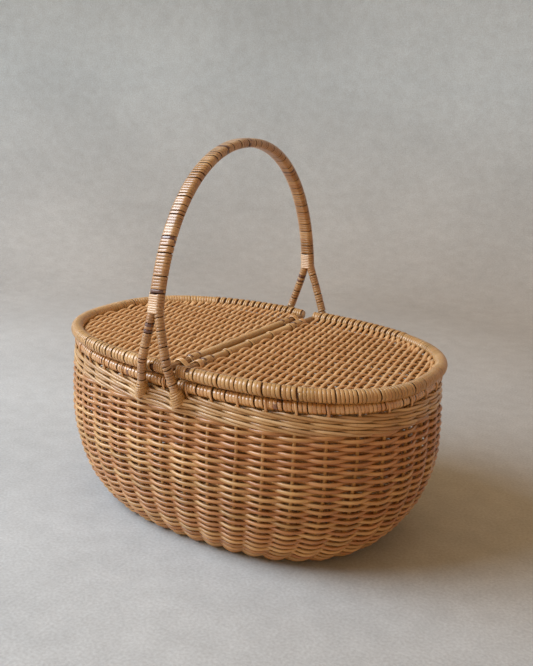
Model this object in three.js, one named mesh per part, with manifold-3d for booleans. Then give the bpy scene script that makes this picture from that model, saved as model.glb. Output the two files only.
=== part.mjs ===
// Oval picnic basket with two hinged half lids and a fixed arched handle.
// Millimetres, +Z up, length along X, width along Y, origin at the middle of the footprint.
import * as THREE from "three";
import { mergeVertices } from "three/addons/utils/BufferGeometryUtils.js";
import Module from "manifold-3d";

const wasm = await Module();
wasm.setup();

// Clearances
const SEAT_GAP = 0.3;
const LOOP_GAP = 0.4;
const NOTCH_GAP = 0.5;
const BENT_GAP = 0.5;

// Plan outline: a superellipse round the outer edge of the lids
const HALF_LENGTH = 219.5;
const HALF_WIDTH = 144.4;
const OUTLINE_POWER = 2.5;
const OUTLINE_STATIONS = 44;

// Woven body
const FOOT_HALF_LENGTH = 143.3;
const FOOT_HALF_WIDTH = 105.7;
const BELLY_INSET = 0.5;
const BELLY_HEIGHT = 110;
const HAUNCH_POWER = 1.9;
const NECK_INSET = 3;
const SIDE_TOP = 156.5;
const WALL = 7;
const STAKES = 39;
const FIRST_STAKE = 0.65;
const WEAVE_BANDS = 14;
const WEAVE_CROWDING = 1.45;
const STAKE_RELIEF = 0.7;
const CROSSING_RELIEF = 2.6;
const BASE_THICKNESS = 3.6;
const BASE_STICK = 3;
const BASE_CROSS_STICKS = 7;
const BASE_LONG_STICKS = 3;
const BASE_STICK_SPACING = 34;
const RIM_RISE = 4;

// Waled band, rim hoop and their wrap
const WALE_HEIGHT = 20.2;
const WALE_PROUD = 0.8;
const RIM_INSET = 5;
const RIM_ROD = 9.5;
const RIM_WRAP = 1;

// Lids
const LID_LIFT = 3.6;
const LID_ROD = 11.2;
const LID_WRAP = 1;
const LID_HOOP_GAP = 16;
const LID_WEAVE = 7.5;
const LID_DROP = 3;
const RIB = 3;
const RIB_SPACING = 22;
const RIB_MARGIN = 9;
const EDGE_ROD = 7;
const EDGE_WRAP = 1;
const EDGE_DROP = 1.5;

// Crossbar and the hinge line beside it
const BAR_X = -4;
const BAR_DIAMETER = 7;
const HINGE_OFFSET = 8.5;
const HINGE_CANE = 2.2;
const HINGE_TURNS = 2;

// Handle: two rods bound side by side, splayed into two legs at each end
const HANDLE_X = -15.5;
const HANDLE_TOP = 416;
const ARCH_SPRING = 219;
const ARCH_POWER = 2.15;
const HANDLE_ROD = 7;
const HANDLE_WRAP = 1.1;
const HANDLE_CLEAR = 3;
const FORK_HEIGHT = 263;
const FRONT_LEG_SPREAD = 22.3;
const BACK_LEG_SPREAD = 32.3;
const LEG_BEND = 0.06;
const LEG_KNEE = 206;
const FOOT_DEPTH = 14;
const FOOT_INSET = 3;
const FOOT_TIE_RISE = 14;
const LEG_WRAP_RISE = 19;
const BIND_CANE = 2.2;
const BIND_TURNS = 4;
const FOOT_TURNS = 2;

// Facets
const STICK_SIDES = 6;
const ROD_SIDES = 8;
const PAIR_SIDES = 12;
const ARCH_STEPS = 30;
const LOOP_STEPS = 14;
const LOOP_SIDES = 6;

// Sizes that follow
const BELLY_HALF_LENGTH = HALF_LENGTH - BELLY_INSET;
const BELLY_HALF_WIDTH = HALF_WIDTH - BELLY_INSET;
const RIM_RADIUS = RIM_ROD / 2 + RIM_WRAP;
const LID_RADIUS = LID_ROD / 2 + LID_WRAP;
const EDGE_RADIUS = EDGE_ROD / 2 + EDGE_WRAP;
const RIB_SPREAD = 2 * (HALF_WIDTH - 2 * LID_RADIUS - RIB_MARGIN);
const RIBS_PER_LID = Math.floor(RIB_SPREAD / RIB_SPACING) + 1;
const HANDLE_RADIUS = HANDLE_ROD / 2;
const ROD_SPREAD = HANDLE_RADIUS + SEAT_GAP / 2;
const HANDLE_HALF_SPAN = HALF_WIDTH + HANDLE_CLEAR + HANDLE_RADIUS + HANDLE_WRAP;
const WALE_FOOT = SIDE_TOP + SEAT_GAP;
const WALE_TOP = WALE_FOOT + WALE_HEIGHT;
const FOOT_Y = HALF_WIDTH - FOOT_INSET;
const FOOT_HEIGHT = WALE_TOP - FOOT_DEPTH;
const FOOT_TIE_HEIGHT = FOOT_HEIGHT + FOOT_TIE_RISE;
const LEG_WRAP_FOOT = FOOT_HEIGHT + LEG_WRAP_RISE;
const RIM_HEIGHT = WALE_TOP + SEAT_GAP + RIM_RADIUS;
const LID_HEIGHT = RIM_HEIGHT + RIM_RADIUS + LID_LIFT + LID_RADIUS;
const PANEL_HEIGHT = LID_HEIGHT - LID_DROP;
const EDGE_HEIGHT = LID_HEIGHT - EDGE_DROP;
const BAR_HEIGHT = RIM_HEIGHT + RIM_ROD / 2 + SEAT_GAP + BAR_DIAMETER / 2;
const HINGE_LOOP_RADIUS = BAR_DIAMETER / 2 + LOOP_GAP + HINGE_CANE / 2;
const HINGE_PITCH = HINGE_CANE + 2 * SEAT_GAP;
const HINGE_LOOP_WIDTH = HINGE_TURNS * HINGE_PITCH + HINGE_CANE;
const EDGE_WRAP_END = (RIB_SPACING * (RIBS_PER_LID - 3) + RIB) / 2 + SEAT_GAP;
const RIGHT_LOOP_Y = EDGE_WRAP_END + NOTCH_GAP + HINGE_LOOP_WIDTH / 2;
const LEFT_LOOP_Y = RIGHT_LOOP_Y + NOTCH_GAP + HINGE_LOOP_WIDTH;
const BIND_PITCH = BIND_CANE + 2 * SEAT_GAP;
const BIND_HEIGHT = BIND_TURNS * BIND_PITCH + BIND_CANE;
const ARCH_FOOT = FORK_HEIGHT + BIND_HEIGHT + SEAT_GAP;

const REED = new THREE.MeshStandardMaterial({ color: 0xc9965a, roughness: 0.6, metalness: 0 });
const PALE_REED = new THREE.MeshStandardMaterial({ color: 0xd8b07a, roughness: 0.55, metalness: 0 });
const CANE = new THREE.MeshStandardMaterial({ color: 0xc28a52, roughness: 0.35, metalness: 0 });
const RED_CANE = new THREE.MeshStandardMaterial({ color: 0xa9663a, roughness: 0.35, metalness: 0 });
const POLE = new THREE.MeshStandardMaterial({ color: 0xb98e5c, roughness: 0.7, metalness: 0 });

const basket = new THREE.Group();

function addMesh(name, geometry, material) {
  const mesh = new THREE.Mesh(geometry, material.clone());
  mesh.name = name;
  basket.add(mesh);
}

// Outline points and normals

// Evenly spaced points on the plan superellipse, each with its outward normal. The first lies
// this share of a space round from +X.
function outlineStations(halfLength, halfWidth, count, first = 0) {
  const fine = [];
  const samples = 2000;
  for (let i = 0; i <= samples; i += 1) {
    const angle = (2 * Math.PI * i) / samples;
    const c = Math.cos(angle);
    const s = Math.sin(angle);
    const x = halfLength * Math.sign(c) * Math.abs(c) ** (2 / OUTLINE_POWER);
    const y = halfWidth * Math.sign(s) * Math.abs(s) ** (2 / OUTLINE_POWER);
    fine.push(new THREE.Vector2(x, y));
  }
  const lengths = [0];
  for (let i = 1; i <= samples; i += 1) {
    lengths.push(lengths[i - 1] + fine[i].distanceTo(fine[i - 1]));
  }
  const stations = [];
  let k = 0;
  for (let i = 0; i < count; i += 1) {
    const want = (lengths[samples] * (i + first)) / count;
    while (lengths[k + 1] < want) {
      k += 1;
    }
    const share = (want - lengths[k]) / (lengths[k + 1] - lengths[k]);
    const point = fine[k].clone().lerp(fine[k + 1], share);
    const gradient = new THREE.Vector2(
      (Math.sign(point.x) * (Math.abs(point.x) / halfLength) ** (OUTLINE_POWER - 1)) / halfLength,
      (Math.sign(point.y) * (Math.abs(point.y) / halfWidth) ** (OUTLINE_POWER - 1)) / halfWidth,
    );
    stations.push({ point, normal: gradient.normalize() });
  }
  return stations;
}

const OUTLINE = outlineStations(HALF_LENGTH, HALF_WIDTH, OUTLINE_STATIONS);

// How far the rim and what hangs on it rise at this X.
function rise(x, height) {
  return RIM_RISE * (x / HALF_LENGTH) ** 2 * Math.min(height / RIM_HEIGHT, 1);
}

// Closed body from rings of points; joined closes the last ring onto the first.
function loft(rings, joined) {
  const count = rings[0].length;
  const positions = rings.flat().flatMap((p) => [p.x, p.y, p.z]);
  const indices = [];
  const last = joined ? rings.length : rings.length - 1;
  for (let i = 0; i < last; i += 1) {
    const next = (i + 1) % rings.length;
    for (let j = 0; j < count; j += 1) {
      const k = (j + 1) % count;
      indices.push(i * count + j, i * count + k, next * count + k);
      indices.push(i * count + j, next * count + k, next * count + j);
    }
  }
  if (!joined) {
    const end = (rings.length - 1) * count;
    for (let j = 1; j < count - 1; j += 1) {
      indices.push(0, j + 1, j);
      indices.push(end, end + j, end + j + 1);
    }
  }
  const geometry = new THREE.BufferGeometry();
  geometry.setAttribute("position", new THREE.Float32BufferAttribute(positions, 3));
  geometry.setIndex(indices);
  if (signedVolume(geometry) < 0) {
    const flipped = [];
    for (let i = 0; i < indices.length; i += 3) {
      flipped.push(indices[i], indices[i + 2], indices[i + 1]);
    }
    geometry.setIndex(flipped);
  }
  return geometry;
}

function signedVolume(geometry) {
  const position = geometry.attributes.position;
  const index = geometry.index.array;
  const corner = [new THREE.Vector3(), new THREE.Vector3(), new THREE.Vector3()];
  let volume = 0;
  for (let i = 0; i < index.length; i += 3) {
    corner.forEach((c, j) => c.fromBufferAttribute(position, index[i + j]));
    volume += corner[0].dot(corner[1].clone().cross(corner[2])) / 6;
  }
  return volume;
}

// Booleans

function toSolid(geometry) {
  const bare = geometry.clone();
  bare.deleteAttribute("normal");
  bare.deleteAttribute("uv");
  const merged = mergeVertices(bare, 1e-4);
  return new wasm.Manifold(new wasm.Mesh({
    numProp: 3,
    vertProperties: new Float32Array(merged.attributes.position.array),
    triVerts: new Uint32Array(merged.index.array),
  }));
}

function toGeometry(solid) {
  const mesh = solid.getMesh();
  const geometry = new THREE.BufferGeometry();
  geometry.setAttribute("position", new THREE.Float32BufferAttribute(mesh.vertProperties, 3));
  geometry.setIndex(Array.from(mesh.triVerts));
  return geometry;
}

function boxBetween(low, high) {
  const size = high.clone().sub(low);
  const box = new THREE.BoxGeometry(size.x, size.y, size.z);
  box.translate(...low.clone().add(high).multiplyScalar(0.5).toArray());
  return box;
}

// Round rods and tubes

function rodBetween(start, end, diameter, sides) {
  const length = start.distanceTo(end);
  const rod = new THREE.CylinderGeometry(diameter / 2, diameter / 2, length, sides);
  const turn = new THREE.Quaternion().setFromUnitVectors(
    new THREE.Vector3(0, 1, 0),
    end.clone().sub(start).normalize(),
  );
  rod.applyQuaternion(turn);
  rod.translate(...start.clone().add(end).multiplyScalar(0.5).toArray());
  return rod;
}

// Points of a round-ended oval: two half circles of the radius, their centres spread apart in X.
function ovalSection(spread, radius, sides) {
  const points = [];
  for (let i = 0; i < sides; i += 1) {
    const angle = (2 * Math.PI * (i + 0.5)) / sides;
    const shift = spread * Math.sign(Math.cos(angle));
    points.push(new THREE.Vector2(shift + radius * Math.cos(angle), radius * Math.sin(angle)));
  }
  return points;
}

function tubeAlong(curve, outer, inner, steps) {
  const shape = new THREE.Shape(outer);
  if (inner) {
    shape.holes.push(new THREE.Path(inner));
  }
  return new THREE.ExtrudeGeometry(shape, { steps, extrudePath: curve });
}

// A ring of section points round an outline station.
function sectionRing(station, inset, height, radius, sides) {
  const ring = [];
  const x = station.point.x - station.normal.x * inset;
  const y = station.point.y - station.normal.y * inset;
  const z = height + rise(x, height);
  for (let i = 0; i < sides; i += 1) {
    const angle = (2 * Math.PI * i) / sides;
    const out = radius * Math.cos(angle);
    ring.push(new THREE.Vector3(
      x + station.normal.x * out,
      y + station.normal.y * out,
      z + radius * Math.sin(angle),
    ));
  }
  return ring;
}

// The body's wall

// Half length and half width of the outer wall at a height, set in by a wall thickness.
function wallPlan(height, inset) {
  const floor = inset;
  const climb = THREE.MathUtils.clamp((height - floor) / (BELLY_HEIGHT - floor), 0, 1);
  const grow = (1 - (1 - climb) ** HAUNCH_POWER) ** (1 / HAUNCH_POWER);
  const over = Math.max(height - BELLY_HEIGHT, 0) / (WALE_TOP - BELLY_HEIGHT);
  const neck = NECK_INSET * over ** 2;
  return {
    halfLength: FOOT_HALF_LENGTH + (BELLY_HALF_LENGTH - inset - FOOT_HALF_LENGTH) * grow - neck,
    halfWidth: FOOT_HALF_WIDTH + (BELLY_HALF_WIDTH - inset - FOOT_HALF_WIDTH) * grow - neck,
  };
}

function wallRing(height, inset, proud, count = OUTLINE_STATIONS, first = 0) {
  const plan = wallPlan(height, inset);
  return outlineStations(plan.halfLength, plan.halfWidth, count, first).map((station) => {
    const x = station.point.x + station.normal.x * proud;
    const y = station.point.y + station.normal.y * proud;
    return new THREE.Vector3(x, y, height + rise(x, height));
  });
}

function spaced(from, to, count, power) {
  return Array.from({ length: count + 1 }, (_, i) => from + (to - from) * (i / count) ** power);
}

// Side stations alternate: the even ones lie between two stakes, the odd ones at a stake.
function sideRing(height, inset) {
  return wallRing(height, inset, 0, 2 * STAKES, 2 * FIRST_STAKE - 1);
}

// Coarse weave: the wall stands out at every stake and lies back where the weavers cross.
function wovenRing(height, band) {
  return sideRing(height, 0).map((point, i, ring) => {
    if (band === 0 || band === WEAVE_BANDS) {
      return point;
    }
    const along = ring[(i + 1) % ring.length].clone().sub(ring.at(i - 1)).setZ(0).normalize();
    const back = i % 2 === 1 ? STAKE_RELIEF : CROSSING_RELIEF;
    return point.clone().add(new THREE.Vector3(-along.y, along.x, 0).multiplyScalar(back));
  });
}

function sideWeave() {
  const outer = spaced(0, SIDE_TOP, WEAVE_BANDS, WEAVE_CROWDING).map(wovenRing);
  const inner = spaced(WALL, SIDE_TOP, 6, 1.8).map((height) => sideRing(height, WALL));
  return loft([...outer, ...inner.reverse()], true);
}

function waleBand(notches) {
  const outer = spaced(WALE_FOOT, WALE_TOP, 2, 1).map((height) => wallRing(height, 0, WALE_PROUD));
  const inner = [WALE_TOP, WALE_FOOT].map((height) => wallRing(height, WALL, 0));
  const band = toSolid(loft([...outer, ...inner], true));
  return toGeometry(notches.reduce((solid, notch) => solid.subtract(toSolid(notch)), band));
}

function baseWeave() {
  const points = outlineStations(
    FOOT_HALF_LENGTH - SEAT_GAP,
    FOOT_HALF_WIDTH - SEAT_GAP,
    OUTLINE_STATIONS,
  ).map((station) => station.point);
  return new THREE.ExtrudeGeometry(new THREE.Shape(points), {
    depth: BASE_THICKNESS,
    bevelEnabled: false,
  });
}

// Crossed sticks that lie on the inside of the base and stop short of the wall.
function baseSticks() {
  const z = BASE_THICKNESS + SEAT_GAP + BASE_STICK / 2;
  const reach = (offset, half, across) => {
    const share = 1 - (Math.abs(offset) / across) ** OUTLINE_POWER;
    return half * share ** (1 / OUTLINE_POWER) - SEAT_GAP - BASE_STICK;
  };
  const sticks = [];
  for (let i = 0; i < BASE_CROSS_STICKS; i += 1) {
    const x = (i - (BASE_CROSS_STICKS - 1) / 2) * BASE_STICK_SPACING;
    const y = reach(x, FOOT_HALF_WIDTH, FOOT_HALF_LENGTH);
    sticks.push(rodBetween(
      new THREE.Vector3(x, -y, z),
      new THREE.Vector3(x, y, z),
      BASE_STICK,
      STICK_SIDES,
    ));
  }
  for (let i = 0; i < BASE_LONG_STICKS; i += 1) {
    const y = (i - (BASE_LONG_STICKS - 1) / 2) * BASE_STICK_SPACING;
    const x = reach(y, FOOT_HALF_LENGTH, FOOT_HALF_WIDTH);
    sticks.push(rodBetween(
      new THREE.Vector3(-x, y, z),
      new THREE.Vector3(x, y, z),
      BASE_STICK,
      STICK_SIDES,
    ));
  }
  const solids = sticks.map(toSolid);
  return toGeometry(solids.reduce((all, stick) => all.add(stick)));
}

// Rim

function rimRings(stations, radius, sides) {
  return stations.map((station) => {
    return sectionRing(station, RIM_INSET + RIM_RADIUS, RIM_HEIGHT, radius, sides);
  });
}

// A sleeve round one half of the rim; the crossbar lies in the gap between the halves.
function rimWrap(side) {
  const clear = BAR_DIAMETER / 2 + SEAT_GAP;
  const half = arcStations(side, BAR_X + side * clear);
  const outer = rimRings(half, RIM_RADIUS, ROD_SIDES);
  const inner = rimRings(half, RIM_ROD / 2 + SEAT_GAP, ROD_SIDES);
  return loft([...outer, ...inner.reverse()], true);
}

// Outline stations on one side of a plane across X, with a station on the plane at each end.
function arcStations(side, planeX) {
  const kept = [];
  const count = OUTLINE.length;
  const start = side > 0 ? Math.floor(count / 2) : 0;
  for (let i = 0; i < count; i += 1) {
    const here = OUTLINE[(start + i) % count];
    const next = OUTLINE[(start + i + 1) % count];
    const hereIn = side * (here.point.x - planeX) > 0;
    const nextIn = side * (next.point.x - planeX) > 0;
    if (hereIn) {
      kept.push(here);
    }
    if (hereIn !== nextIn) {
      const share = (planeX - here.point.x) / (next.point.x - here.point.x);
      kept.push({
        point: here.point.clone().lerp(next.point, share),
        normal: here.normal.clone().lerp(next.normal, share).normalize(),
      });
    }
  }
  return kept;
}

// Lids

function lidHoopRings(side, radius, sides) {
  const stations = arcStations(side, BAR_X + (side * LID_HOOP_GAP) / 2);
  return stations.map((station) => {
    const ring = sectionRing(station, LID_RADIUS, 0, radius, sides);
    const lift = LID_HEIGHT - rise(station.point.x, 0);
    return ring.map((point) => point.add(new THREE.Vector3(0, 0, lift)));
  });
}

function lidHoopWrap(side) {
  const outer = lidHoopRings(side, LID_RADIUS, ROD_SIDES);
  const inner = lidHoopRings(side, LID_ROD / 2 + SEAT_GAP, ROD_SIDES);
  return loft([...outer, ...inner.reverse()], true);
}

function hingeX(side) {
  return BAR_X + side * HINGE_OFFSET;
}

// Inner face of the lid hoop, where the edge rod and the ribs stop.
function hoopInnerX(y, inset) {
  const share = 1 - (Math.abs(y) / (HALF_WIDTH - inset)) ** OUTLINE_POWER;
  return (HALF_LENGTH - inset) * Math.max(share, 0) ** (1 / OUTLINE_POWER);
}

function edgeRodEnd() {
  return HALF_WIDTH - 2 * LID_RADIUS - 2 * SEAT_GAP;
}

function edgeRod(side) {
  return rodBetween(
    new THREE.Vector3(hingeX(side), -edgeRodEnd(), EDGE_HEIGHT),
    new THREE.Vector3(hingeX(side), edgeRodEnd(), EDGE_HEIGHT),
    EDGE_ROD,
    ROD_SIDES,
  );
}

function edgeWrap(side) {
  const line = new THREE.LineCurve3(
    new THREE.Vector3(hingeX(side), -EDGE_WRAP_END, EDGE_HEIGHT),
    new THREE.Vector3(hingeX(side), EDGE_WRAP_END, EDGE_HEIGHT),
  );
  return tubeAlong(
    line,
    ovalSection(0, EDGE_RADIUS, ROD_SIDES),
    ovalSection(0, EDGE_ROD / 2 + SEAT_GAP, ROD_SIDES),
    1,
  );
}

function ribY(index) {
  return (index - (RIBS_PER_LID - 1) / 2) * RIB_SPACING;
}

function ribEnds(side, index) {
  const y = ribY(index);
  const inner = Math.abs(y) < EDGE_WRAP_END ? EDGE_RADIUS : EDGE_ROD / 2;
  const outerX = hoopInnerX(y, 2 * LID_RADIUS + RIB);
  return [
    new THREE.Vector3(hingeX(side) + side * (inner + 2 * SEAT_GAP), y, PANEL_HEIGHT),
    new THREE.Vector3(side * outerX, y, PANEL_HEIGHT),
  ];
}

function lidRib(side, index) {
  const [start, end] = ribEnds(side, index);
  return rodBetween(start, end, RIB, STICK_SIDES);
}

// The woven panel fills the hoop, is bored for the ribs and is cut back round the hinge loops.
function lidWeave(side) {
  const points = OUTLINE.map((station) => {
    return station.point.clone().addScaledVector(station.normal, -2 * LID_RADIUS - SEAT_GAP);
  });
  const slab = new THREE.ExtrudeGeometry(new THREE.Shape(points), {
    depth: LID_WEAVE,
    bevelEnabled: false,
  });
  slab.translate(0, 0, PANEL_HEIGHT - LID_WEAVE / 2);
  const edge = hingeX(side) + side * (EDGE_RADIUS + SEAT_GAP);
  const span = [edge, side * HALF_LENGTH].sort((a, b) => a - b);
  const keep = boxBetween(
    new THREE.Vector3(span[0], -HALF_WIDTH, PANEL_HEIGHT - LID_WEAVE),
    new THREE.Vector3(span[1], HALF_WIDTH, PANEL_HEIGHT + LID_WEAVE),
  );
  let panel = toSolid(slab).intersect(toSolid(keep));
  for (let i = 0; i < RIBS_PER_LID; i += 1) {
    const [start, end] = ribEnds(side, i);
    const from = start.clone().setX(hingeX(side));
    const to = end.clone().setX(side * HALF_LENGTH);
    panel = panel.subtract(toSolid(rodBetween(from, to, RIB + 2 * SEAT_GAP, STICK_SIDES)));
  }
  for (const end of [-1, 1]) {
    panel = panel.subtract(toSolid(loopPocket(side, end)));
  }
  return toGeometry(panel);
}

// Room beside the edge rod for both hinge loops at one end of the lid.
function loopPocket(side, end) {
  const half = HINGE_LOOP_WIDTH / 2 + NOTCH_GAP;
  const nearY = end * (RIGHT_LOOP_Y - half);
  const farY = end * (LEFT_LOOP_Y + half);
  const farX = hingeX(side) + side * (HINGE_LOOP_RADIUS + HINGE_CANE / 2 + NOTCH_GAP);
  const xs = [hingeX(side), farX].sort((a, b) => a - b);
  const ys = [nearY, farY].sort((a, b) => a - b);
  return boxBetween(
    new THREE.Vector3(xs[0], ys[0], PANEL_HEIGHT - LID_WEAVE),
    new THREE.Vector3(xs[1], ys[1], PANEL_HEIGHT + LID_WEAVE),
  );
}

// Wound cane: turns round two parallel rods, with straight ends one cane diameter long.
class WoundCurve extends THREE.Curve {
  constructor({ centre, spread, axis, radius, pitch, turns, cane }) {
    super();
    this.centre = centre;
    this.spread = spread;
    this.along = axis.clone().normalize();
    this.u = spread.lengthSq() > 0 ? spread.clone().normalize() : sideways(this.along);
    this.v = this.along.clone().cross(this.u);
    this.radius = radius;
    this.pitch = pitch;
    this.turns = turns;
    this.tail = cane;
    this.turnLength = 2 * Math.PI * radius + 4 * spread.length();
    this.total = this.turnLength * turns + 2 * cane;
  }

  flat(distance) {
    const half = this.spread.length();
    const arc = Math.PI * this.radius;
    let s = ((distance % this.turnLength) + this.turnLength) % this.turnLength;
    if (s < half) {
      return [s, -this.radius];
    }
    s -= half;
    if (s < arc) {
      const angle = s / this.radius - Math.PI / 2;
      return [half + this.radius * Math.cos(angle), this.radius * Math.sin(angle)];
    }
    s -= arc;
    if (s < 2 * half) {
      return [half - s, this.radius];
    }
    s -= 2 * half;
    if (s < arc) {
      const angle = s / this.radius + Math.PI / 2;
      return [-half + this.radius * Math.cos(angle), this.radius * Math.sin(angle)];
    }
    return [s - arc - half, -this.radius];
  }

  getPoint(t) {
    const distance = t * this.total - this.tail;
    const wound = THREE.MathUtils.clamp(distance, 0, this.turnLength * this.turns);
    const [a, b] = this.flat(wound);
    const climb = (wound / this.turnLength - this.turns / 2) * this.pitch;
    return this.centre.clone()
      .addScaledVector(this.u, a + (distance - wound))
      .addScaledVector(this.v, b)
      .addScaledVector(this.along, climb);
  }
}

function sideways(axis) {
  return new THREE.Vector3(1, 0, 0).cross(axis).normalize();
}

// Least free gap between neighbouring turns, measured on the points of the curve.
function leastGap(curve, cane) {
  const count = Math.round(LOOP_STEPS * curve.turns * 4);
  const points = curve.getSpacedPoints(count);
  const apart = curve.turnLength / 2;
  let least = Infinity;
  for (let i = 0; i < points.length; i += 1) {
    for (let j = i + 1; j < points.length; j += 1) {
      if (((j - i) * curve.total) / count > apart) {
        least = Math.min(least, points[i].distanceTo(points[j]));
      }
    }
  }
  return least - cane;
}

function woundCane(name, options, material) {
  const curve = new WoundCurve(options);
  console.log(`${name} least gap ${leastGap(curve, options.cane).toFixed(2)} mm`);
  const steps = Math.round(LOOP_STEPS * options.turns) + 2;
  const section = ovalSection(0, options.cane / 2, LOOP_SIDES);
  addMesh(name, tubeAlong(curve, section, null, steps), material);
}

// A hinge loop ties a lid's edge rod to the crossbar and lets the rod turn in it.
function addHingeLoop(side, end) {
  const bar = new THREE.Vector3(BAR_X, 0, BAR_HEIGHT);
  const rod = new THREE.Vector3(hingeX(side), 0, EDGE_HEIGHT);
  const y = end * (side > 0 ? RIGHT_LOOP_Y : LEFT_LOOP_Y);
  woundCane(`${sideName(side)}_hinge_loop_${endName(end)}`, {
    centre: bar.clone().add(rod).multiplyScalar(0.5).setY(y),
    spread: rod.clone().sub(bar).multiplyScalar(0.5),
    axis: new THREE.Vector3(0, 1, 0),
    radius: HINGE_LOOP_RADIUS,
    pitch: HINGE_PITCH,
    turns: HINGE_TURNS,
    cane: HINGE_CANE,
  }, CANE);
}

// Handle

// Centre line of one handle rod, from its front foot over the arch to its back foot.
class HandleRodCurve extends THREE.Curve {
  constructor(side, from, to) {
    super();
    this.side = side;
    this.from = from;
    this.to = to;
  }

  getPoint(t) {
    const s = this.from + (this.to - this.from) * t;
    return handlePoint(this.side, s);
  }
}

// Place on a handle rod: s is the height on a leg below the arch's spring, then the arch's angle.
function handlePoint(side, s) {
  const end = s < 0 ? -1 : 1;
  const leg = Math.abs(s) - 1;
  if (leg > 0) {
    const z = ARCH_SPRING - leg * (ARCH_SPRING - FOOT_HEIGHT);
    return new THREE.Vector3(legX(side, end, z), end * legY(z), z);
  }
  const angle = ((s + 1) / 2) * Math.PI;
  const c = Math.cos(angle);
  const y = -HANDLE_HALF_SPAN * Math.sign(c) * Math.abs(c) ** (2 / ARCH_POWER);
  const z = ARCH_SPRING + (HANDLE_TOP - ARCH_SPRING) * Math.sin(angle) ** (2 / ARCH_POWER);
  return new THREE.Vector3(legX(side, end, z), y, z);
}

// A leg leaves the pole in a short bend and then runs straight out to its foot.
const BEND_SCALE = Math.hypot(1, LEG_BEND) - LEG_BEND;

function legSpread(end) {
  return end < 0 ? FRONT_LEG_SPREAD : BACK_LEG_SPREAD;
}

function legX(side, end, z) {
  const drop = Math.max(FORK_HEIGHT - z, 0) / (FORK_HEIGHT - FOOT_TIE_HEIGHT);
  const bent = (Math.hypot(drop, LEG_BEND) - LEG_BEND) / BEND_SCALE;
  return HANDLE_X + side * (ROD_SPREAD + (legSpread(end) - ROD_SPREAD) * bent);
}

// Height at which the legs have parted enough for a wrap round each.
function legWrapTop(end) {
  const parted = HANDLE_RADIUS + HANDLE_WRAP + SEAT_GAP;
  const bent = (parted - ROD_SPREAD) / (legSpread(end) - ROD_SPREAD);
  const drop = Math.sqrt((bent * BEND_SCALE + LEG_BEND) ** 2 - LEG_BEND ** 2);
  return FORK_HEIGHT - drop * (FORK_HEIGHT - FOOT_TIE_HEIGHT);
}

function legY(z) {
  const drop = Math.max(LEG_KNEE - z, 0) / (LEG_KNEE - FOOT_HEIGHT);
  return HANDLE_HALF_SPAN - (HANDLE_HALF_SPAN - FOOT_Y) * drop;
}

// Share of the way from the top of the arch to a height: 1 at the spring, more down the leg.
function shareAt(z) {
  if (z > ARCH_SPRING) {
    return archShare(z);
  }
  return 1 + (ARCH_SPRING - z) / (ARCH_SPRING - FOOT_HEIGHT);
}

// Share of the arch at which its centre line reaches a height, found by halving.
function archShare(z) {
  let low = -1;
  let high = 0;
  for (let i = 0; i < 40; i += 1) {
    const middle = (low + high) / 2;
    if (handlePoint(1, middle).z < z) {
      low = middle;
    } else {
      high = middle;
    }
  }
  return -low;
}

function rodPoint(side, end, z) {
  return handlePoint(side, end * shareAt(z));
}

function handleRod(side) {
  const rod = ovalSection(0, HANDLE_RADIUS, STICK_SIDES);
  const foot = shareAt(FOOT_HEIGHT);
  return tubeAlong(new HandleRodCurve(side, -foot, foot), rod, null, 2 * ARCH_STEPS);
}

class ArchCurve extends THREE.Curve {
  getPoint(t) {
    const reach = archShare(ARCH_FOOT);
    const point = handlePoint(1, -reach + 2 * reach * t);
    return point.setX(HANDLE_X);
  }
}

function handleWrap() {
  const outer = ovalSection(ROD_SPREAD, HANDLE_RADIUS + HANDLE_WRAP, PAIR_SIDES);
  const inner = ovalSection(ROD_SPREAD, HANDLE_RADIUS + BENT_GAP, PAIR_SIDES);
  return tubeAlong(new ArchCurve(), outer, inner, ARCH_STEPS);
}

function legCurve(side, end, top, foot) {
  return new HandleRodCurve(side, end * shareAt(top), end * shareAt(foot));
}

function legWrap(side, end) {
  const outer = ovalSection(0, HANDLE_RADIUS + HANDLE_WRAP, ROD_SIDES);
  const inner = ovalSection(0, HANDLE_RADIUS + BENT_GAP, ROD_SIDES);
  return tubeAlong(legCurve(side, end, legWrapTop(end), LEG_WRAP_FOOT), outer, inner, 6);
}

// Middle and direction of a winding that sits on a rod, or on the pair, at a height.
function windingSeat(side, end, z) {
  const above = rodPoint(side, end, z + 1);
  const below = rodPoint(side, end, z - 1);
  return { centre: above.clone().add(below).multiplyScalar(0.5), axis: above.sub(below) };
}

function addForkBinding(end) {
  const seat = windingSeat(1, end, FORK_HEIGHT + BIND_HEIGHT / 2);
  woundCane(`fork_binding_${endName(end)}`, {
    centre: seat.centre.setX(HANDLE_X),
    axis: seat.axis.setX(0),
    spread: new THREE.Vector3(ROD_SPREAD, 0, 0),
    radius: HANDLE_RADIUS + LOOP_GAP + BIND_CANE / 2,
    pitch: BIND_PITCH,
    turns: BIND_TURNS,
    cane: BIND_CANE,
  }, PALE_REED);
}

function addFootTie(side, end) {
  woundCane(`${sideName(side)}_foot_tie_${endName(end)}`, {
    ...windingSeat(side, end, FOOT_TIE_HEIGHT),
    spread: new THREE.Vector3(0, 0, 0),
    radius: HANDLE_RADIUS + LOOP_GAP + BIND_CANE / 2,
    pitch: BIND_PITCH,
    turns: FOOT_TURNS,
    cane: BIND_CANE,
  }, CANE);
}

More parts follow.
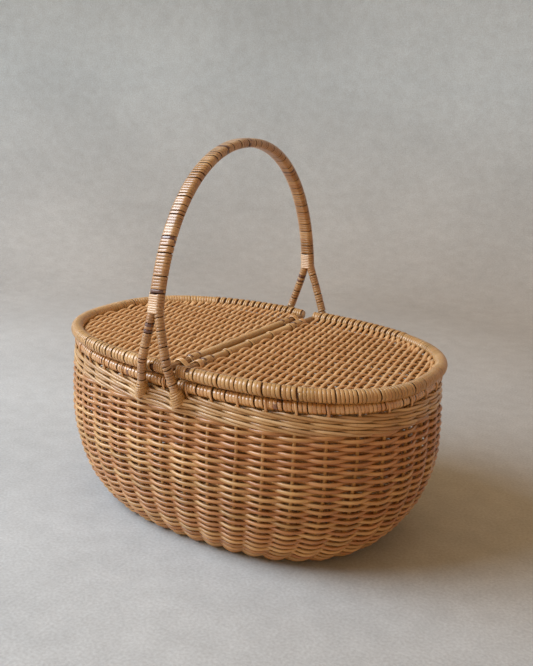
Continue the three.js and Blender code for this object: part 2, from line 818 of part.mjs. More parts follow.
// The grooves that a foot and its tie press into the waled band.
function footNotches(side, end) {
  const groove = (top, foot, reach) => {
    return tubeAlong(legCurve(side, end, top, foot), ovalSection(0, reach, ROD_SIDES), null, 3);
  };
  const tieFoot = FOOT_TIE_HEIGHT - (FOOT_TURNS * BIND_PITCH + BIND_CANE) / 2 - 2 * NOTCH_GAP;
  return [
    groove(WALE_TOP + 3 * RIM_RISE, tieFoot, HANDLE_RADIUS + LOOP_GAP + BIND_CANE + NOTCH_GAP),
    groove(WALE_TOP, FOOT_HEIGHT - NOTCH_GAP, HANDLE_RADIUS + NOTCH_GAP),
  ];
}

function sideName(side) {
  return side > 0 ? "right" : "left";
}

function endName(end) {
  return end < 0 ? "front" : "back";
}

const SIDES = [-1, 1];
const ENDS = [-1, 1];
const CORNERS = SIDES.flatMap((side) => ENDS.map((end) => [side, end]));

function addBody() {
  addMesh("base_weave", baseWeave(), REED);
  addMesh("base_sticks", baseSticks(), POLE);
  addMesh("side_weave", sideWeave(), REED);
  addMesh("wale_band", waleBand(CORNERS.flatMap(([side, end]) => footNotches(side, end))), PALE_REED);
  addMesh("rim_hoop", loft(rimRings(OUTLINE, RIM_ROD / 2, ROD_SIDES), true), POLE);
  SIDES.forEach((side) => addMesh(`rim_wrap_${sideName(side)}`, rimWrap(side), RED_CANE));
}

function addCrossbar() {
  const reach = HALF_WIDTH - RIM_INSET;
  const bar = rodBetween(
    new THREE.Vector3(BAR_X, -reach, BAR_HEIGHT),
    new THREE.Vector3(BAR_X, reach, BAR_HEIGHT),
    BAR_DIAMETER,
    ROD_SIDES,
  );
  addMesh("crossbar", bar, POLE);
  CORNERS.forEach(([side, end]) => addHingeLoop(side, end));
}

function addHandle() {
  SIDES.forEach((side) => addMesh(`handle_rod_${sideName(side)}`, handleRod(side), POLE));
  addMesh("handle_wrap", handleWrap(), CANE);
  ENDS.forEach(addForkBinding);
  CORNERS.forEach(([side, end]) => {
    addMesh(`${sideName(side)}_leg_wrap_${endName(end)}`, legWrap(side, end), CANE);
    addFootTie(side, end);
  });
}

function addLid(side) {
  const name = `${sideName(side)}_lid`;
  addMesh(`${name}_hoop`, loft(lidHoopRings(side, LID_ROD / 2, ROD_SIDES), false), POLE);
  addMesh(`${name}_hoop_wrap`, lidHoopWrap(side), CANE);
  addMesh(`${name}_edge_rod`, edgeRod(side), POLE);
  addMesh(`${name}_edge_wrap`, edgeWrap(side), CANE);
  addMesh(`${name}_weave`, lidWeave(side), REED);
  for (let i = 0; i < RIBS_PER_LID; i += 1) {
    addMesh(`${name}_rib_${String(i + 1).padStart(2, "0")}`, lidRib(side, i), POLE);
  }
}

addBody();
addCrossbar();
addHandle();
SIDES.forEach(addLid);

export default basket;
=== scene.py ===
import math

import bpy
import numpy as np
from mathutils import Matrix, Vector


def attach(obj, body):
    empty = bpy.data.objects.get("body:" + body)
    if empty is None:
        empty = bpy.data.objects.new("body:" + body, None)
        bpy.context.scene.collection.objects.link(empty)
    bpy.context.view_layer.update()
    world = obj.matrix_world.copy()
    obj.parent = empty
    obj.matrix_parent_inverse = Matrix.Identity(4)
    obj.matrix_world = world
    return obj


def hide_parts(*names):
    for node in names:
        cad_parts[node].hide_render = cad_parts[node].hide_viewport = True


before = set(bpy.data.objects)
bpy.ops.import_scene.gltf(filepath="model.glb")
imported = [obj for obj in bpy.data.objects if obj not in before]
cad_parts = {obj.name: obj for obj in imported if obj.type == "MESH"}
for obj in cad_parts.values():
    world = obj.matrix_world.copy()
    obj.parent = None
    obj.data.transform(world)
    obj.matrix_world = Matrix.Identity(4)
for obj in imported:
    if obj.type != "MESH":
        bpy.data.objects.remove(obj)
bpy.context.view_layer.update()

METRE = 0.001
SEED = 11
LIGHT_SHARE = 0.8

# Clearance and outline
SEAT_GAP = 0.3
HALF_LENGTH = 219.5
HALF_WIDTH = 144.4
OUTLINE_POWER = 2.5

# Woven body
FOOT_HALF_LENGTH = 143.3
FOOT_HALF_WIDTH = 105.7
BELLY_INSET = 0.5
BELLY_HEIGHT = 110
HAUNCH_POWER = 1.9
NECK_INSET = 3
SIDE_TOP = 156.5
WALE_HEIGHT = 20.2
RIM_RISE = 4
BASE_REACH = 84
STAKES = 39
FIRST_STAKE = 0.65
BASE_SPOKES = 28
ROW_PITCH = 3.96
WALE_ROWS = 3

# Strands of the body, as half widths and half depths, and how far they swing in and out
WEAVER_WIDE = 2.15
WEAVER_DEEP = 1.75
INSIDE_SPREAD = 1.3
SWING = 3.4
PROUD = 0.8
STAKE_WIDE = 1.95
STAKE_DEEP = 1.4
BASE_WIDE = 1.7
BASE_DEEP = 1.3
BASE_SWING = 1.7
SPOKE_RADIUS = 1.6
STICK_SPACING = 12.0
WALE_WIDE = 1.7
WALE_DEEP = 1.5
WALE_SLANT = 2.6
BULGE_OUT = 6.6
BULGE_IN = 3.6
BULGE_REACH = 11
BULGE_FOOT = 157.0
BULGE_TOP = 173.8

# Rim and lids
RIM_INSET = 5
RIM_ROD = 9.5
RIM_WRAP = 1
LID_LIFT = 3.6
LID_ROD = 11.2
LID_WRAP = 1
LID_HOOP_GAP = 16
LID_DROP = 3
RIBS_PER_LID = 12
RIB_SPACING = 22
RIB_WIDE = 1.7
RIB_DEEP = 1.1
LID_WEAVER_WIDE = 1.85
LID_WEAVER_DEEP = 1.5
LID_SWING = 2.5
LID_PITCH = 3.86
FOLD = 11
FOLD_LIFT = 3.4
OPEN_REACH = 132
HOOP_FINE = 12.5
HOOP_END_RADIUS = 5.1
HOOP_SLIM = 14
EDGE_ROD = 7
EDGE_WRAP = 1
EDGE_DROP = 1.5
EDGE_LASHING = 15
EDGE_MARGIN = 1.2
BAR_X = -4
BAR_DIAMETER = 7
HINGE_OFFSET = 8.5
HINGE_CANE = 2.2

# Handle
HANDLE_X = -15.5
HANDLE_TOP = 416
ARCH_SPRING = 219
ARCH_POWER = 2.15
HANDLE_ROD = 7
HANDLE_WRAP = 1.1
HANDLE_CLEAR = 3
FORK_HEIGHT = 263
FRONT_LEG_SPREAD = 22.3
BACK_LEG_SPREAD = 32.3
LEG_BEND = 0.06
LEG_KNEE = 206
FOOT_DEPTH = 14
FOOT_INSET = 3
FOOT_TIE_RISE = 14
BIND_HEIGHT = 13.4
FORK_LOOPS = 8
TIE_TURNS = 7
LOOP_WIDE = 1.35

# Camera, in degrees and metres
CAMERA_AZIMUTH = 31.7
CAMERA_ELEVATION = 15.9
CAMERA_DISTANCE = 0.956
CAMERA_TARGET = (0.0125, 0.0114, 0.2072)
CAMERA_ROLL = 2.3
CAMERA_LENS = 45.74

# Light and stage
LAMP_LEFT = 1.44
LAMP_NEAR = 0.2
LAMP_HEIGHT = 1.25
LAMP_AIM = (0, 0, 0.12)
LAMP_SIZE = 1.5
LAMP_POWER = 46.5
LAMP_COLOUR = (0.80, 0.89, 1.0)
SKY_COLOUR = (1.0, 0.695, 0.405)
SKY_STRENGTH = 0.67
FLOOR_COLOUR = (0.605, 0.66, 0.68)
WALL_COLOUR = (0.64, 0.79, 0.895)
BOUNCE_COLOUR = (0.60, 0.43, 0.25)
STAGE_ROUGH = 0.9

# Sizes that follow
BELLY_HALF_LENGTH = HALF_LENGTH - BELLY_INSET
BELLY_HALF_WIDTH = HALF_WIDTH - BELLY_INSET
RIM_RADIUS = RIM_ROD / 2 + RIM_WRAP
LID_RADIUS = LID_ROD / 2 + LID_WRAP
EDGE_RADIUS = EDGE_ROD / 2 + EDGE_WRAP
HANDLE_RADIUS = HANDLE_ROD / 2
ROD_SPREAD = HANDLE_RADIUS + SEAT_GAP / 2
HANDLE_HALF_SPAN = HALF_WIDTH + HANDLE_CLEAR + HANDLE_RADIUS + HANDLE_WRAP
WALE_FOOT = SIDE_TOP + SEAT_GAP
WALE_TOP = WALE_FOOT + WALE_HEIGHT
RIM_HEIGHT = WALE_TOP + SEAT_GAP + RIM_RADIUS
LID_HEIGHT = RIM_HEIGHT + RIM_RADIUS + LID_LIFT + LID_RADIUS
PANEL_HEIGHT = LID_HEIGHT - LID_DROP
EDGE_HEIGHT = LID_HEIGHT - EDGE_DROP
EDGE_WRAP_END = (RIB_SPACING * (RIBS_PER_LID - 3) + 3) / 2 + SEAT_GAP
BAR_HEIGHT = RIM_HEIGHT + RIM_ROD / 2 + SEAT_GAP + BAR_DIAMETER / 2
FOOT_Y = HALF_WIDTH - FOOT_INSET
FOOT_HEIGHT = WALE_TOP - FOOT_DEPTH
FOOT_TIE_HEIGHT = FOOT_HEIGHT + FOOT_TIE_RISE
BEND_SCALE = math.hypot(1, LEG_BEND) - LEG_BEND
STAKE_DEPTH = SWING + WEAVER_DEEP - PROUD
BASE_DEPTH = BASE_SWING + BASE_DEEP

SIDES = (-1, 1)
ENDS = (-1, 1)
SIDE_NAME = {-1: "left", 1: "right"}
END_NAME = {-1: "front", 1: "back"}
rng = np.random.default_rng(SEED)


def unit(vectors):
    return vectors / np.linalg.norm(vectors, axis=-1, keepdims=True)


def wander(shares, strength, waves):
    """A smooth random curve over a closed share 0..1."""
    total = np.zeros_like(shares)
    for k in range(1, waves + 1):
        total += rng.normal() / math.sqrt(k) * np.sin(2 * math.pi * (k * shares + rng.random()))
    return strength * total / math.sqrt(waves)


def drift(places, step, strength):
    """A smooth random curve along an open strand, with a new value at every step."""
    knots = strength * rng.standard_normal(int(np.max(places) / step) + 3)
    k = places / step
    i = k.astype(int)
    f = (k - i) ** 2 * (3 - 2 * (k - i))
    return knots[i] * (1 - f) + knots[i + 1] * f


def eased(value):
    value = np.clip(value, 0, 1)
    return value ** 2 * (3 - 2 * value)


def pieces_of(length, shortest, longest):
    """Random cut places along a length, as new strands are spliced in."""
    cuts = [0.0]
    while cuts[-1] < length:
        cuts.append(cuts[-1] + rng.uniform(shortest, longest))
    return np.array(cuts)


def seeds_along(places, shortest, longest):
    """One random number for each strand, held from splice to splice."""
    cuts = pieces_of(places.max() + 1e-6, shortest, longest)
    values = rng.random(len(cuts))
    return values[np.searchsorted(cuts, places, side="right") - 1]


# Strands and the meshes that they make up

class Bundle:
    """Sweeps strands of oval section and gathers them into one mesh."""

    def __init__(self):
        self.points = []
        self.quads = []
        self.tris = []
        self.fibre = []
        self.count = 0

    def add(self, path, out, width, depth, seed, sides=8, closed=False):
        """width is the half size across the strand, depth the half size towards out."""
        path = np.asarray(path, float)
        n = len(path)
        if closed:
            tangent = unit(np.roll(path, -1, 0) - np.roll(path, 1, 0))
        else:
            tangent = unit(np.gradient(path, axis=0))
        out = np.broadcast_to(np.asarray(out, float), path.shape)
        out = unit(out - tangent * (out * tangent).sum(1, keepdims=True))
        across = np.cross(tangent, out)
        angle = 2 * math.pi * np.arange(sides) / sides - math.pi
        width = np.broadcast_to(width, n)
        depth = np.broadcast_to(depth, n)
        reach = np.sin(angle) / np.abs(np.sin(angle)).max()
        ring = (
            path[:, None]
            + across[:, None] * (width[:, None, None] * reach[None, :, None])
            + out[:, None] * (depth[:, None, None] * np.cos(angle)[None, :, None])
        )
        step = np.linalg.norm(np.diff(path, axis=0), axis=1)
        along = np.concatenate([[0], np.cumsum(step)]) * METRE
        around = angle[None, :] * ((width + depth) / 2)[:, None] * METRE
        seed = np.broadcast_to(seed, n)
        fibre = np.stack([
            np.repeat(along[:, None], sides, 1),
            around,
            np.repeat(seed[:, None], sides, 1),
        ], -1)
        rows = n if closed else n - 1
        a = np.arange(rows)[:, None] * sides + np.arange(sides)[None, :]
        b = np.arange(rows)[:, None] * sides + (np.arange(sides)[None, :] + 1) % sides
        c = (np.arange(rows)[:, None] + 1) % n * sides + (np.arange(sides)[None, :] + 1) % sides
        d = (np.arange(rows)[:, None] + 1) % n * sides + np.arange(sides)[None, :]
        self.quads.append(np.stack([a, b, c, d], -1).reshape(-1, 4) + self.count)
        if not closed:
            k = np.arange(1, sides - 1)
            last = (n - 1) * sides
            self.tris.append(np.stack([0 * k, k + 1, k], -1) + self.count)
            self.tris.append(np.stack([last + 0 * k, last + k, last + k + 1], -1) + self.count)
        self.points.append(ring.reshape(-1, 3))
        self.fibre.append(fibre.reshape(-1, 3))
        self.count += n * sides

    def make(self, name, material, body, replaces=()):
        points = np.concatenate(self.points) * METRE
        quads = np.concatenate(self.quads)
        tris = np.concatenate(self.tris) if self.tris else np.zeros((0, 3), int)
        mesh = bpy.data.meshes.new(name)
        mesh.vertices.add(len(points))
        mesh.vertices.foreach_set("co", points.astype(np.float32).ravel())
        corners = np.concatenate([quads.ravel(), tris.ravel()]).astype(np.int32)
        mesh.loops.add(len(corners))
        mesh.loops.foreach_set("vertex_index", corners)
        starts = np.concatenate([
            np.arange(len(quads)) * 4,
            len(quads) * 4 + np.arange(len(tris)) * 3,
        ]).astype(np.int32)
        mesh.polygons.add(len(starts))
        mesh.polygons.foreach_set("loop_start", starts)
        mesh.polygons.foreach_set("use_smooth", np.ones(len(starts), bool))
        fibre = mesh.attributes.new("fibre", "FLOAT_VECTOR", "POINT")
        fibre.data.foreach_set("vector", np.concatenate(self.fibre).astype(np.float32).ravel())
        mesh.update(calc_edges=True)
        mesh.validate()
        mesh.materials.append(material)
        piece = bpy.data.objects.new(name, mesh)
        bpy.context.scene.collection.objects.link(piece)
        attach(piece, body)
        if replaces:
            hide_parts(*replaces)
        return piece


class Line:
    """A centre line with two directions across it, read by distance."""

    def __init__(self, points, across):
        self.points = np.asarray(points, float)
        step = np.linalg.norm(np.diff(self.points, axis=0), axis=1)
        self.distance = np.concatenate([[0], np.cumsum(step)])
        tangent = unit(np.gradient(self.points, axis=0))
        across = np.broadcast_to(np.asarray(across, float), self.points.shape)
        self.across = unit(across - tangent * (across * tangent).sum(1, keepdims=True))
        self.up = np.cross(tangent, self.across)
        self.length = self.distance[-1]

    def read(self, rows, distance):
        return np.stack([np.interp(distance, self.distance, rows[:, k]) for k in range(3)], -1)

    def at(self, distance):
        return (
            self.read(self.points, distance),
            unit(self.read(self.across, distance)),
            unit(self.read(self.up, distance)),
        )


def oval_section(share, radius, spread):
    """Point and outward normal on a round-ended oval, by share of its girth."""
    arc = math.pi * radius
    girth = 2 * arc + 4 * spread
    s = (share % 1) * girth
    right = np.clip(s, 0, arc) / radius - math.pi / 2
    top = np.clip(s - arc, 0, 2 * spread)
    left = np.clip(s - arc - 2 * spread, 0, arc) / radius + math.pi / 2
    bottom = np.clip(s - 2 * arc - 2 * spread, 0, 2 * spread)
    on_right = s <= arc
    on_top = (s > arc) & (s <= arc + 2 * spread)
    on_left = (s > arc + 2 * spread) & (s <= 2 * arc + 2 * spread)
    angle = np.select(
        [on_right, on_top, on_left],
        [right, np.full_like(s, math.pi / 2), left],
        -math.pi / 2,
    )
    middle = np.select(
        [on_right, on_top, on_left],
        [np.full_like(s, spread), spread - top, np.full_like(s, -spread)],
        -spread + bottom,
    )
    return middle + radius * np.cos(angle), radius * np.sin(angle), np.cos(angle), np.sin(angle)


class Turns:
    """A strand wound round a rod: pitch, lift of its middle off the rod, and half sizes.

    Turns vary by wobble, stand off by gap where one opens, and are spliced after as many turns
    as the pair in splice allows.
    """

    def __init__(self, pitch, lift, wide, deep, wobble=0.04, gap=0.0, sides=6, steps=14,
                 splice=(25, 45)):
        self.pitch = pitch
        self.lift = lift
        self.wide = wide
        self.deep = deep
        self.wobble = wobble
        self.gap = gap
        self.sides = sides
        self.steps = steps
        self.splice = splice

    def between(self, start, end, gaps=()):
        """Stations where turns begin; a gap opens at the turn nearest to each of gaps."""
        room = end - start - self.gap * len(gaps)
        count = max(int(round(room / self.pitch)), 1)
        steps = 1 + self.wobble * rng.standard_normal(count)
        middles = start + (end - start) * (np.arange(count) + 0.5) / count
        for place in gaps:
            steps[np.argmin(np.abs(middles - place))] += self.gap / self.pitch
        places = np.concatenate([[0], np.cumsum(steps)])
        return start + (end - start) * places / places[-1]

    def wind(self, bundle, line, stations, rod, seed=None, spread=0.0, start=0.0, dark=()):
        """Turns begin at the stations and at a share of the girth; dark lists turns in the darkest
        tone: brown turns of cane, and beside the edge rod's rib loops painted shadow.
        """
        count = len(stations) - 1
        t = np.linspace(0, count, count * self.steps + 1)
        centre, across, up = line.at(np.interp(t, np.arange(count + 1), stations))
        a, b, normal_a, normal_b = oval_section(t + start, rod + self.lift, spread)
        path = centre + across * a[:, None] + up * b[:, None]
        out = across * normal_a[:, None] + up * normal_b[:, None]
        if seed is None:
            seed = LIGHT_SHARE * seeds_along(t, *self.splice)
        seed = np.array(np.broadcast_to(seed, len(t)))
        for turn in dark:
            seed[(t >= turn) & (t < turn + 1)] = 1.0
        bundle.add(path, out, self.wide, self.deep, seed, self.sides)


def edge_turns(pitch):
    return Turns(pitch, lift=0.75, wide=pitch / 2 * 0.97, deep=0.6, wobble=0.05, splice=(6, 18))


def leg_turns(lift):
    return Turns(2.95, lift, wide=1.49, deep=0.33, wobble=0.06, gap=1.2, sides=8, splice=(2, 6))


RIM_TURNS = Turns(
    4.1, lift=0.95, wide=2.08, deep=0.42, wobble=0.07, gap=1.3, sides=8, splice=(1, 5))
HOOP_NEAR_TURNS = Turns(
    4.3, lift=0.98, wide=2.17, deep=0.45, wobble=0.07, gap=1.3, sides=8, splice=(1, 5))
HOOP_BOW_TURNS = Turns(
    3.6, lift=0.95, wide=1.82, deep=0.45, wobble=0.06, gap=0.8, sides=8, splice=(2, 8))
HOOP_END_TURNS = Turns(3.1, lift=0.45, wide=1.5, deep=0.5, wobble=0.05)
EDGE_TURNS = {-1: edge_turns(1.9), 1: edge_turns(1.75)}
EDGE_LASHING_TURNS = Turns(2.7, lift=0.75, wide=1.3, deep=0.7, wobble=0.06)
HANDLE_TURNS = Turns(
    3.05, lift=1.08, wide=1.55, deep=0.25, wobble=0.07, gap=1.2, sides=8, steps=20, splice=(2, 6))
LEG_TURNS = {-1: leg_turns(0.93), 1: leg_turns(1.13)}
FORK_TURNS = Turns(2.2, lift=0.9, wide=1.2, deep=0.85, steps=24)
HINGE_TURNS = Turns(1.6, lift=0.4 + HINGE_CANE / 2, wide=0.95, deep=1.0, steps=24)
BAR_TURNS = Turns(2.6, lift=0.5, wide=1.3, deep=0.6)
BAR_TIP_TURNS = Turns(2.7, lift=0.75, wide=1.4, deep=0.8)


# Materials

PATCHES = {"scale": (18, 60, 53), "detail": 2}
STREAKS = {"scale": (60, 2600, 71), "detail": 3}
STREAK_STRENGTH = 0.22
FIBRE_BUMP = 0.25


def mixed(tree, kind, factor, first, second):
    """A Mix node; each of its inputs is a socket, a number or a colour."""
    node = tree.nodes.new("ShaderNodeMix")
    node.data_type = "RGBA"
    node.blend_type = kind
    sockets = node.inputs[0], node.inputs[6], node.inputs[7]
    for socket, value in zip(sockets, (factor, first, second)):
        if isinstance(value, tuple):
            socket.default_value = (*value, 1)
        elif isinstance(value, float):
            socket.default_value = value
        else:
            tree.links.new(value, socket)
    return node.outputs[2]


def cane_material(name, tones, rough, patch, patch_share, coat=0.0, gloss=1.5):
    """Reed or cane: a tone for each strand, slow patches and fine streaks along its fibres."""
    material = bpy.data.materials.new(name)
    material.use_nodes = True
    tree = material.node_tree
    nodes = tree.nodes
    link = tree.links.new
    shader = nodes["Principled BSDF"]
    shader.inputs["Coat Weight"].default_value = coat
    shader.inputs["Coat Roughness"].default_value = 0.3
    shader.inputs["Coat IOR"].default_value = gloss
    fibre = nodes.new("ShaderNodeAttribute")
    fibre.attribute_name = "fibre"
    split = nodes.new("ShaderNodeSeparateXYZ")
    link(fibre.outputs["Vector"], split.inputs[0])

    def noise(scale, detail):
        """Noise stretched by a scale along the strand, around it and from strand to strand."""
        stretched = nodes.new("ShaderNodeVectorMath")
        stretched.operation = "MULTIPLY"
        stretched.inputs[1].default_value = scale
        link(fibre.outputs["Vector"], stretched.inputs[0])
        texture = nodes.new("ShaderNodeTexNoise")
        texture.inputs["Scale"].default_value = 1
        texture.inputs["Detail"].default_value = detail
        link(stretched.outputs[0], texture.inputs["Vector"])
        return texture.outputs["Fac"]

    def ranged(value, low, high, to_low, to_high):
        node = nodes.new("ShaderNodeMapRange")
        for k, limit in enumerate((low, high, to_low, to_high)):
            node.inputs[k + 1].default_value = limit
        link(value, node.inputs[0])
        return node.outputs[0]

    ramp = nodes.new("ShaderNodeValToRGB")
    elements = ramp.color_ramp.elements
    while len(elements) < len(tones):
        elements.new(0.5)
    for k, tone in enumerate(tones):
        elements[k].position = k / (len(tones) - 1)
        elements[k].color = (*tone, 1)
    link(split.outputs[2], ramp.inputs[0])
    share = ranged(noise(**PATCHES), 0.48, 0.72, 0, patch_share)
    patched = mixed(tree, "MIX", share, ramp.outputs[0], patch)
    fine = noise(**STREAKS)
    grey = nodes.new("ShaderNodeCombineColor")
    shade = ranged(fine, 0.3, 0.7, 1 - STREAK_STRENGTH, 1 + STREAK_STRENGTH / 2)
    for k in range(3):
        link(shade, grey.inputs[k])
    link(mixed(tree, "MULTIPLY", 1.0, patched, grey.outputs[0]), shader.inputs["Base Color"])
    link(ranged(fine, 0.3, 0.7, rough + 0.1, rough - 0.06), shader.inputs["Roughness"])
    relief = nodes.new("ShaderNodeBump")
    relief.inputs["Strength"].default_value = FIBRE_BUMP
    relief.inputs["Distance"].default_value = 0.0003
    link(fine, relief.inputs["Height"])
    link(relief.outputs[0], shader.inputs["Normal"])
    return material


REED = cane_material(
    "side_reed",
    [(0.66, 0.47, 0.21), (0.44, 0.25, 0.08), (0.68, 0.43, 0.18), (0.45, 0.215, 0.065),
     (0.62, 0.33, 0.13), (0.42, 0.18, 0.05), (0.60, 0.31, 0.12)],
    rough=0.36, patch=(0.35, 0.12, 0.027), patch_share=0.58, coat=0.55, gloss=1.6)
BASE_REED = cane_material(
    "base_reed",
    [(0.46, 0.25, 0.09), (0.56, 0.33, 0.13), (0.50, 0.29, 0.105)],
    rough=0.5, patch=(0.38, 0.15, 0.04), patch_share=0.4)
WALE_REED = cane_material(
    "wale_reed",
    [(0.46, 0.27, 0.105), (0.68, 0.46, 0.22), (0.50, 0.30, 0.12), (0.74, 0.54, 0.30),
     (0.40, 0.21, 0.07)],
    rough=0.34, patch=(0.36, 0.16, 0.05), patch_share=0.5, coat=0.6)
LID_REED = cane_material(
    "lid_reed",
    [(0.70, 0.42, 0.19), (0.80, 0.52, 0.26), (0.74, 0.46, 0.22), (0.82, 0.56, 0.30)],
    rough=0.42, patch=(0.60, 0.26, 0.08), patch_share=0.4, coat=0.3)
# The last, darkest tone of lid_cane is for brown turns, and beside the edge rod's rib loops for
# painted shadow.
LID_CANE = cane_material(
    "lid_cane",
    [(0.47, 0.28, 0.10), (0.62, 0.385, 0.16), (0.52, 0.315, 0.12), (0.67, 0.44, 0.20),
     (0.16, 0.065, 0.022)],
    rough=0.27, patch=(0.46, 0.20, 0.065), patch_share=0.45, coat=0.6)
RIM_CANE = cane_material(
    "rim_cane",
    [(0.60, 0.31, 0.10), (0.74, 0.45, 0.18), (0.64, 0.34, 0.115), (0.78, 0.51, 0.24),
     (0.17, 0.06, 0.018)],
    rough=0.25, patch=(0.50, 0.19, 0.045), patch_share=0.5, coat=1.0, gloss=1.75)
HANDLE_CANE = cane_material(
    "handle_cane",
    [(0.36, 0.185, 0.06), (0.49, 0.28, 0.105), (0.40, 0.21, 0.07), (0.55, 0.34, 0.15),
     (0.13, 0.04, 0.012)],
    rough=0.34, patch=(0.34, 0.125, 0.03), patch_share=0.55, coat=1.0, gloss=1.6)
PALE_CANE = cane_material(
    "pale_cane",
    [(0.70, 0.50, 0.31), (0.76, 0.58, 0.39), (0.66, 0.45, 0.26)],
    rough=0.36, patch=(0.60, 0.36, 0.18), patch_share=0.3, coat=0.4)
POLE = cane_material(
    "pole", [(0.12, 0.05, 0.018), (0.17, 0.08, 0.03)],
    rough=0.6, patch=(0.08, 0.03, 0.01), patch_share=0.4)
BARE_ROD = cane_material(
    "bare_rod", [(0.34, 0.18, 0.065), (0.42, 0.24, 0.09)],
    rough=0.4, patch=(0.26, 0.11, 0.035), patch_share=0.5, coat=0.3)
STAKE = cane_material(
    "stake_reed", [(0.60, 0.37, 0.15), (0.68, 0.45, 0.21)],
    rough=0.45, patch=(0.46, 0.22, 0.07), patch_share=0.3)


# The wall: a surface read by share round the basket and distance up its profile

def plan_at(height):
    climb = np.clip(height / BELLY_HEIGHT, 0, 1)
    grow = (1 - (1 - climb) ** HAUNCH_POWER) ** (1 / HAUNCH_POWER)
    over = np.maximum(height - BELLY_HEIGHT, 0) / (WALE_TOP - BELLY_HEIGHT)
    neck = NECK_INSET * over ** 2
    return (
        FOOT_HALF_LENGTH + (BELLY_HALF_LENGTH - FOOT_HALF_LENGTH) * grow - neck,
        FOOT_HALF_WIDTH + (BELLY_HALF_WIDTH - FOOT_HALF_WIDTH) * grow - neck,
    )


def oval_ring(half_length, half_width, count):
    """Points evenly spaced round a superellipse, anticlockwise from +X."""
    angle = np.linspace(0, 2 * math.pi, 4001)
    c, s = np.cos(angle), np.sin(angle)
    x = half_length * np.sign(c) * np.abs(c) ** (2 / OUTLINE_POWER)
    y = half_width * np.sign(s) * np.abs(s) ** (2 / OUTLINE_POWER)
    length = np.concatenate([[0], np.cumsum(np.hypot(np.diff(x), np.diff(y)))])
    want = length[-1] * np.arange(count) / count
    return np.stack([np.interp(want, length, x), np.interp(want, length, y)], -1)


class Wall:
    COLUMNS = 840
    STEP = 1.2

    def __init__(self):
        reach = np.arange(BASE_REACH)
        low = BELLY_HEIGHT * np.linspace(0, 1, 160) ** 3
        high = np.linspace(BELLY_HEIGHT, WALE_TOP + 2, 40)[1:]
        height = np.concatenate([low, high])
        side_length, side_width = plan_at(height)
        length = np.concatenate([FOOT_HALF_LENGTH - BASE_REACH + reach, side_length])
        width = np.concatenate([FOOT_HALF_WIDTH - BASE_REACH + reach, side_width])
        height = np.concatenate([0 * reach, height])
        grown = (np.diff(length) + np.diff(width)) / 2
        profile = np.concatenate([[0], np.cumsum(np.hypot(grown, np.diff(height)))])
        self.rows = int(profile[-1] / self.STEP)
        even = np.arange(self.rows) * self.STEP
        self.heights = np.interp(even, profile, height)
        rings = []
        lengths, widths = np.interp(even, profile, length), np.interp(even, profile, width)
        for half_length, half_width, z in zip(lengths, widths, self.heights):
            plan = oval_ring(half_length, half_width, self.COLUMNS)
            rise = RIM_RISE * (plan[:, 0] / HALF_LENGTH) ** 2 * min(z / RIM_HEIGHT, 1)
            rings.append(np.column_stack([plan, z + rise]))
        self.grid = np.array(rings)
        round_way = np.roll(self.grid, -1, 1) - np.roll(self.grid, 1, 1)
        self.normals = unit(np.cross(round_way, np.gradient(self.grid, axis=0)))

    def distance_at(self, height):
        """Distance up the profile at which the wall reaches a height."""
        first = int(np.argmax(self.heights > 0)) - 1
        return np.interp(height, self.heights[first:], np.arange(first, self.rows) * self.STEP)

    def at(self, share, distance):
        """Outer surface points and outward normals."""
        column = (np.asarray(share) % 1) * self.COLUMNS
        row = np.clip(np.asarray(distance) / self.STEP, 0, self.rows - 1.001)
        j, i = np.floor(column).astype(int), np.floor(row).astype(int)
        u, v = (column - j)[..., None], (row - i)[..., None]
        j0, j1 = j % self.COLUMNS, (j + 1) % self.COLUMNS

        def blend(grid):
            near = grid[i, j0] * (1 - u) + grid[i, j1] * u
            far = grid[i + 1, j0] * (1 - u) + grid[i + 1, j1] * u
            return near * (1 - v) + far * v

        return blend(self.grid), unit(blend(self.normals))


wall = Wall()
SIDE_START = wall.distance_at(0.25)
SIDE_END = wall.distance_at(SIDE_TOP)
WALE_END = wall.distance_at(WALE_TOP)


def round_share(steps):
    """Shares round the basket, a number of steps in all."""
    return np.arange(steps) / steps


def oval_reach(place, half_across, half_along):
    """How far an oval reaches either way at a place across it."""
    return half_along * (1 - (abs(place) / half_across) ** OUTLINE_POWER) ** (1 / OUTLINE_POWER)


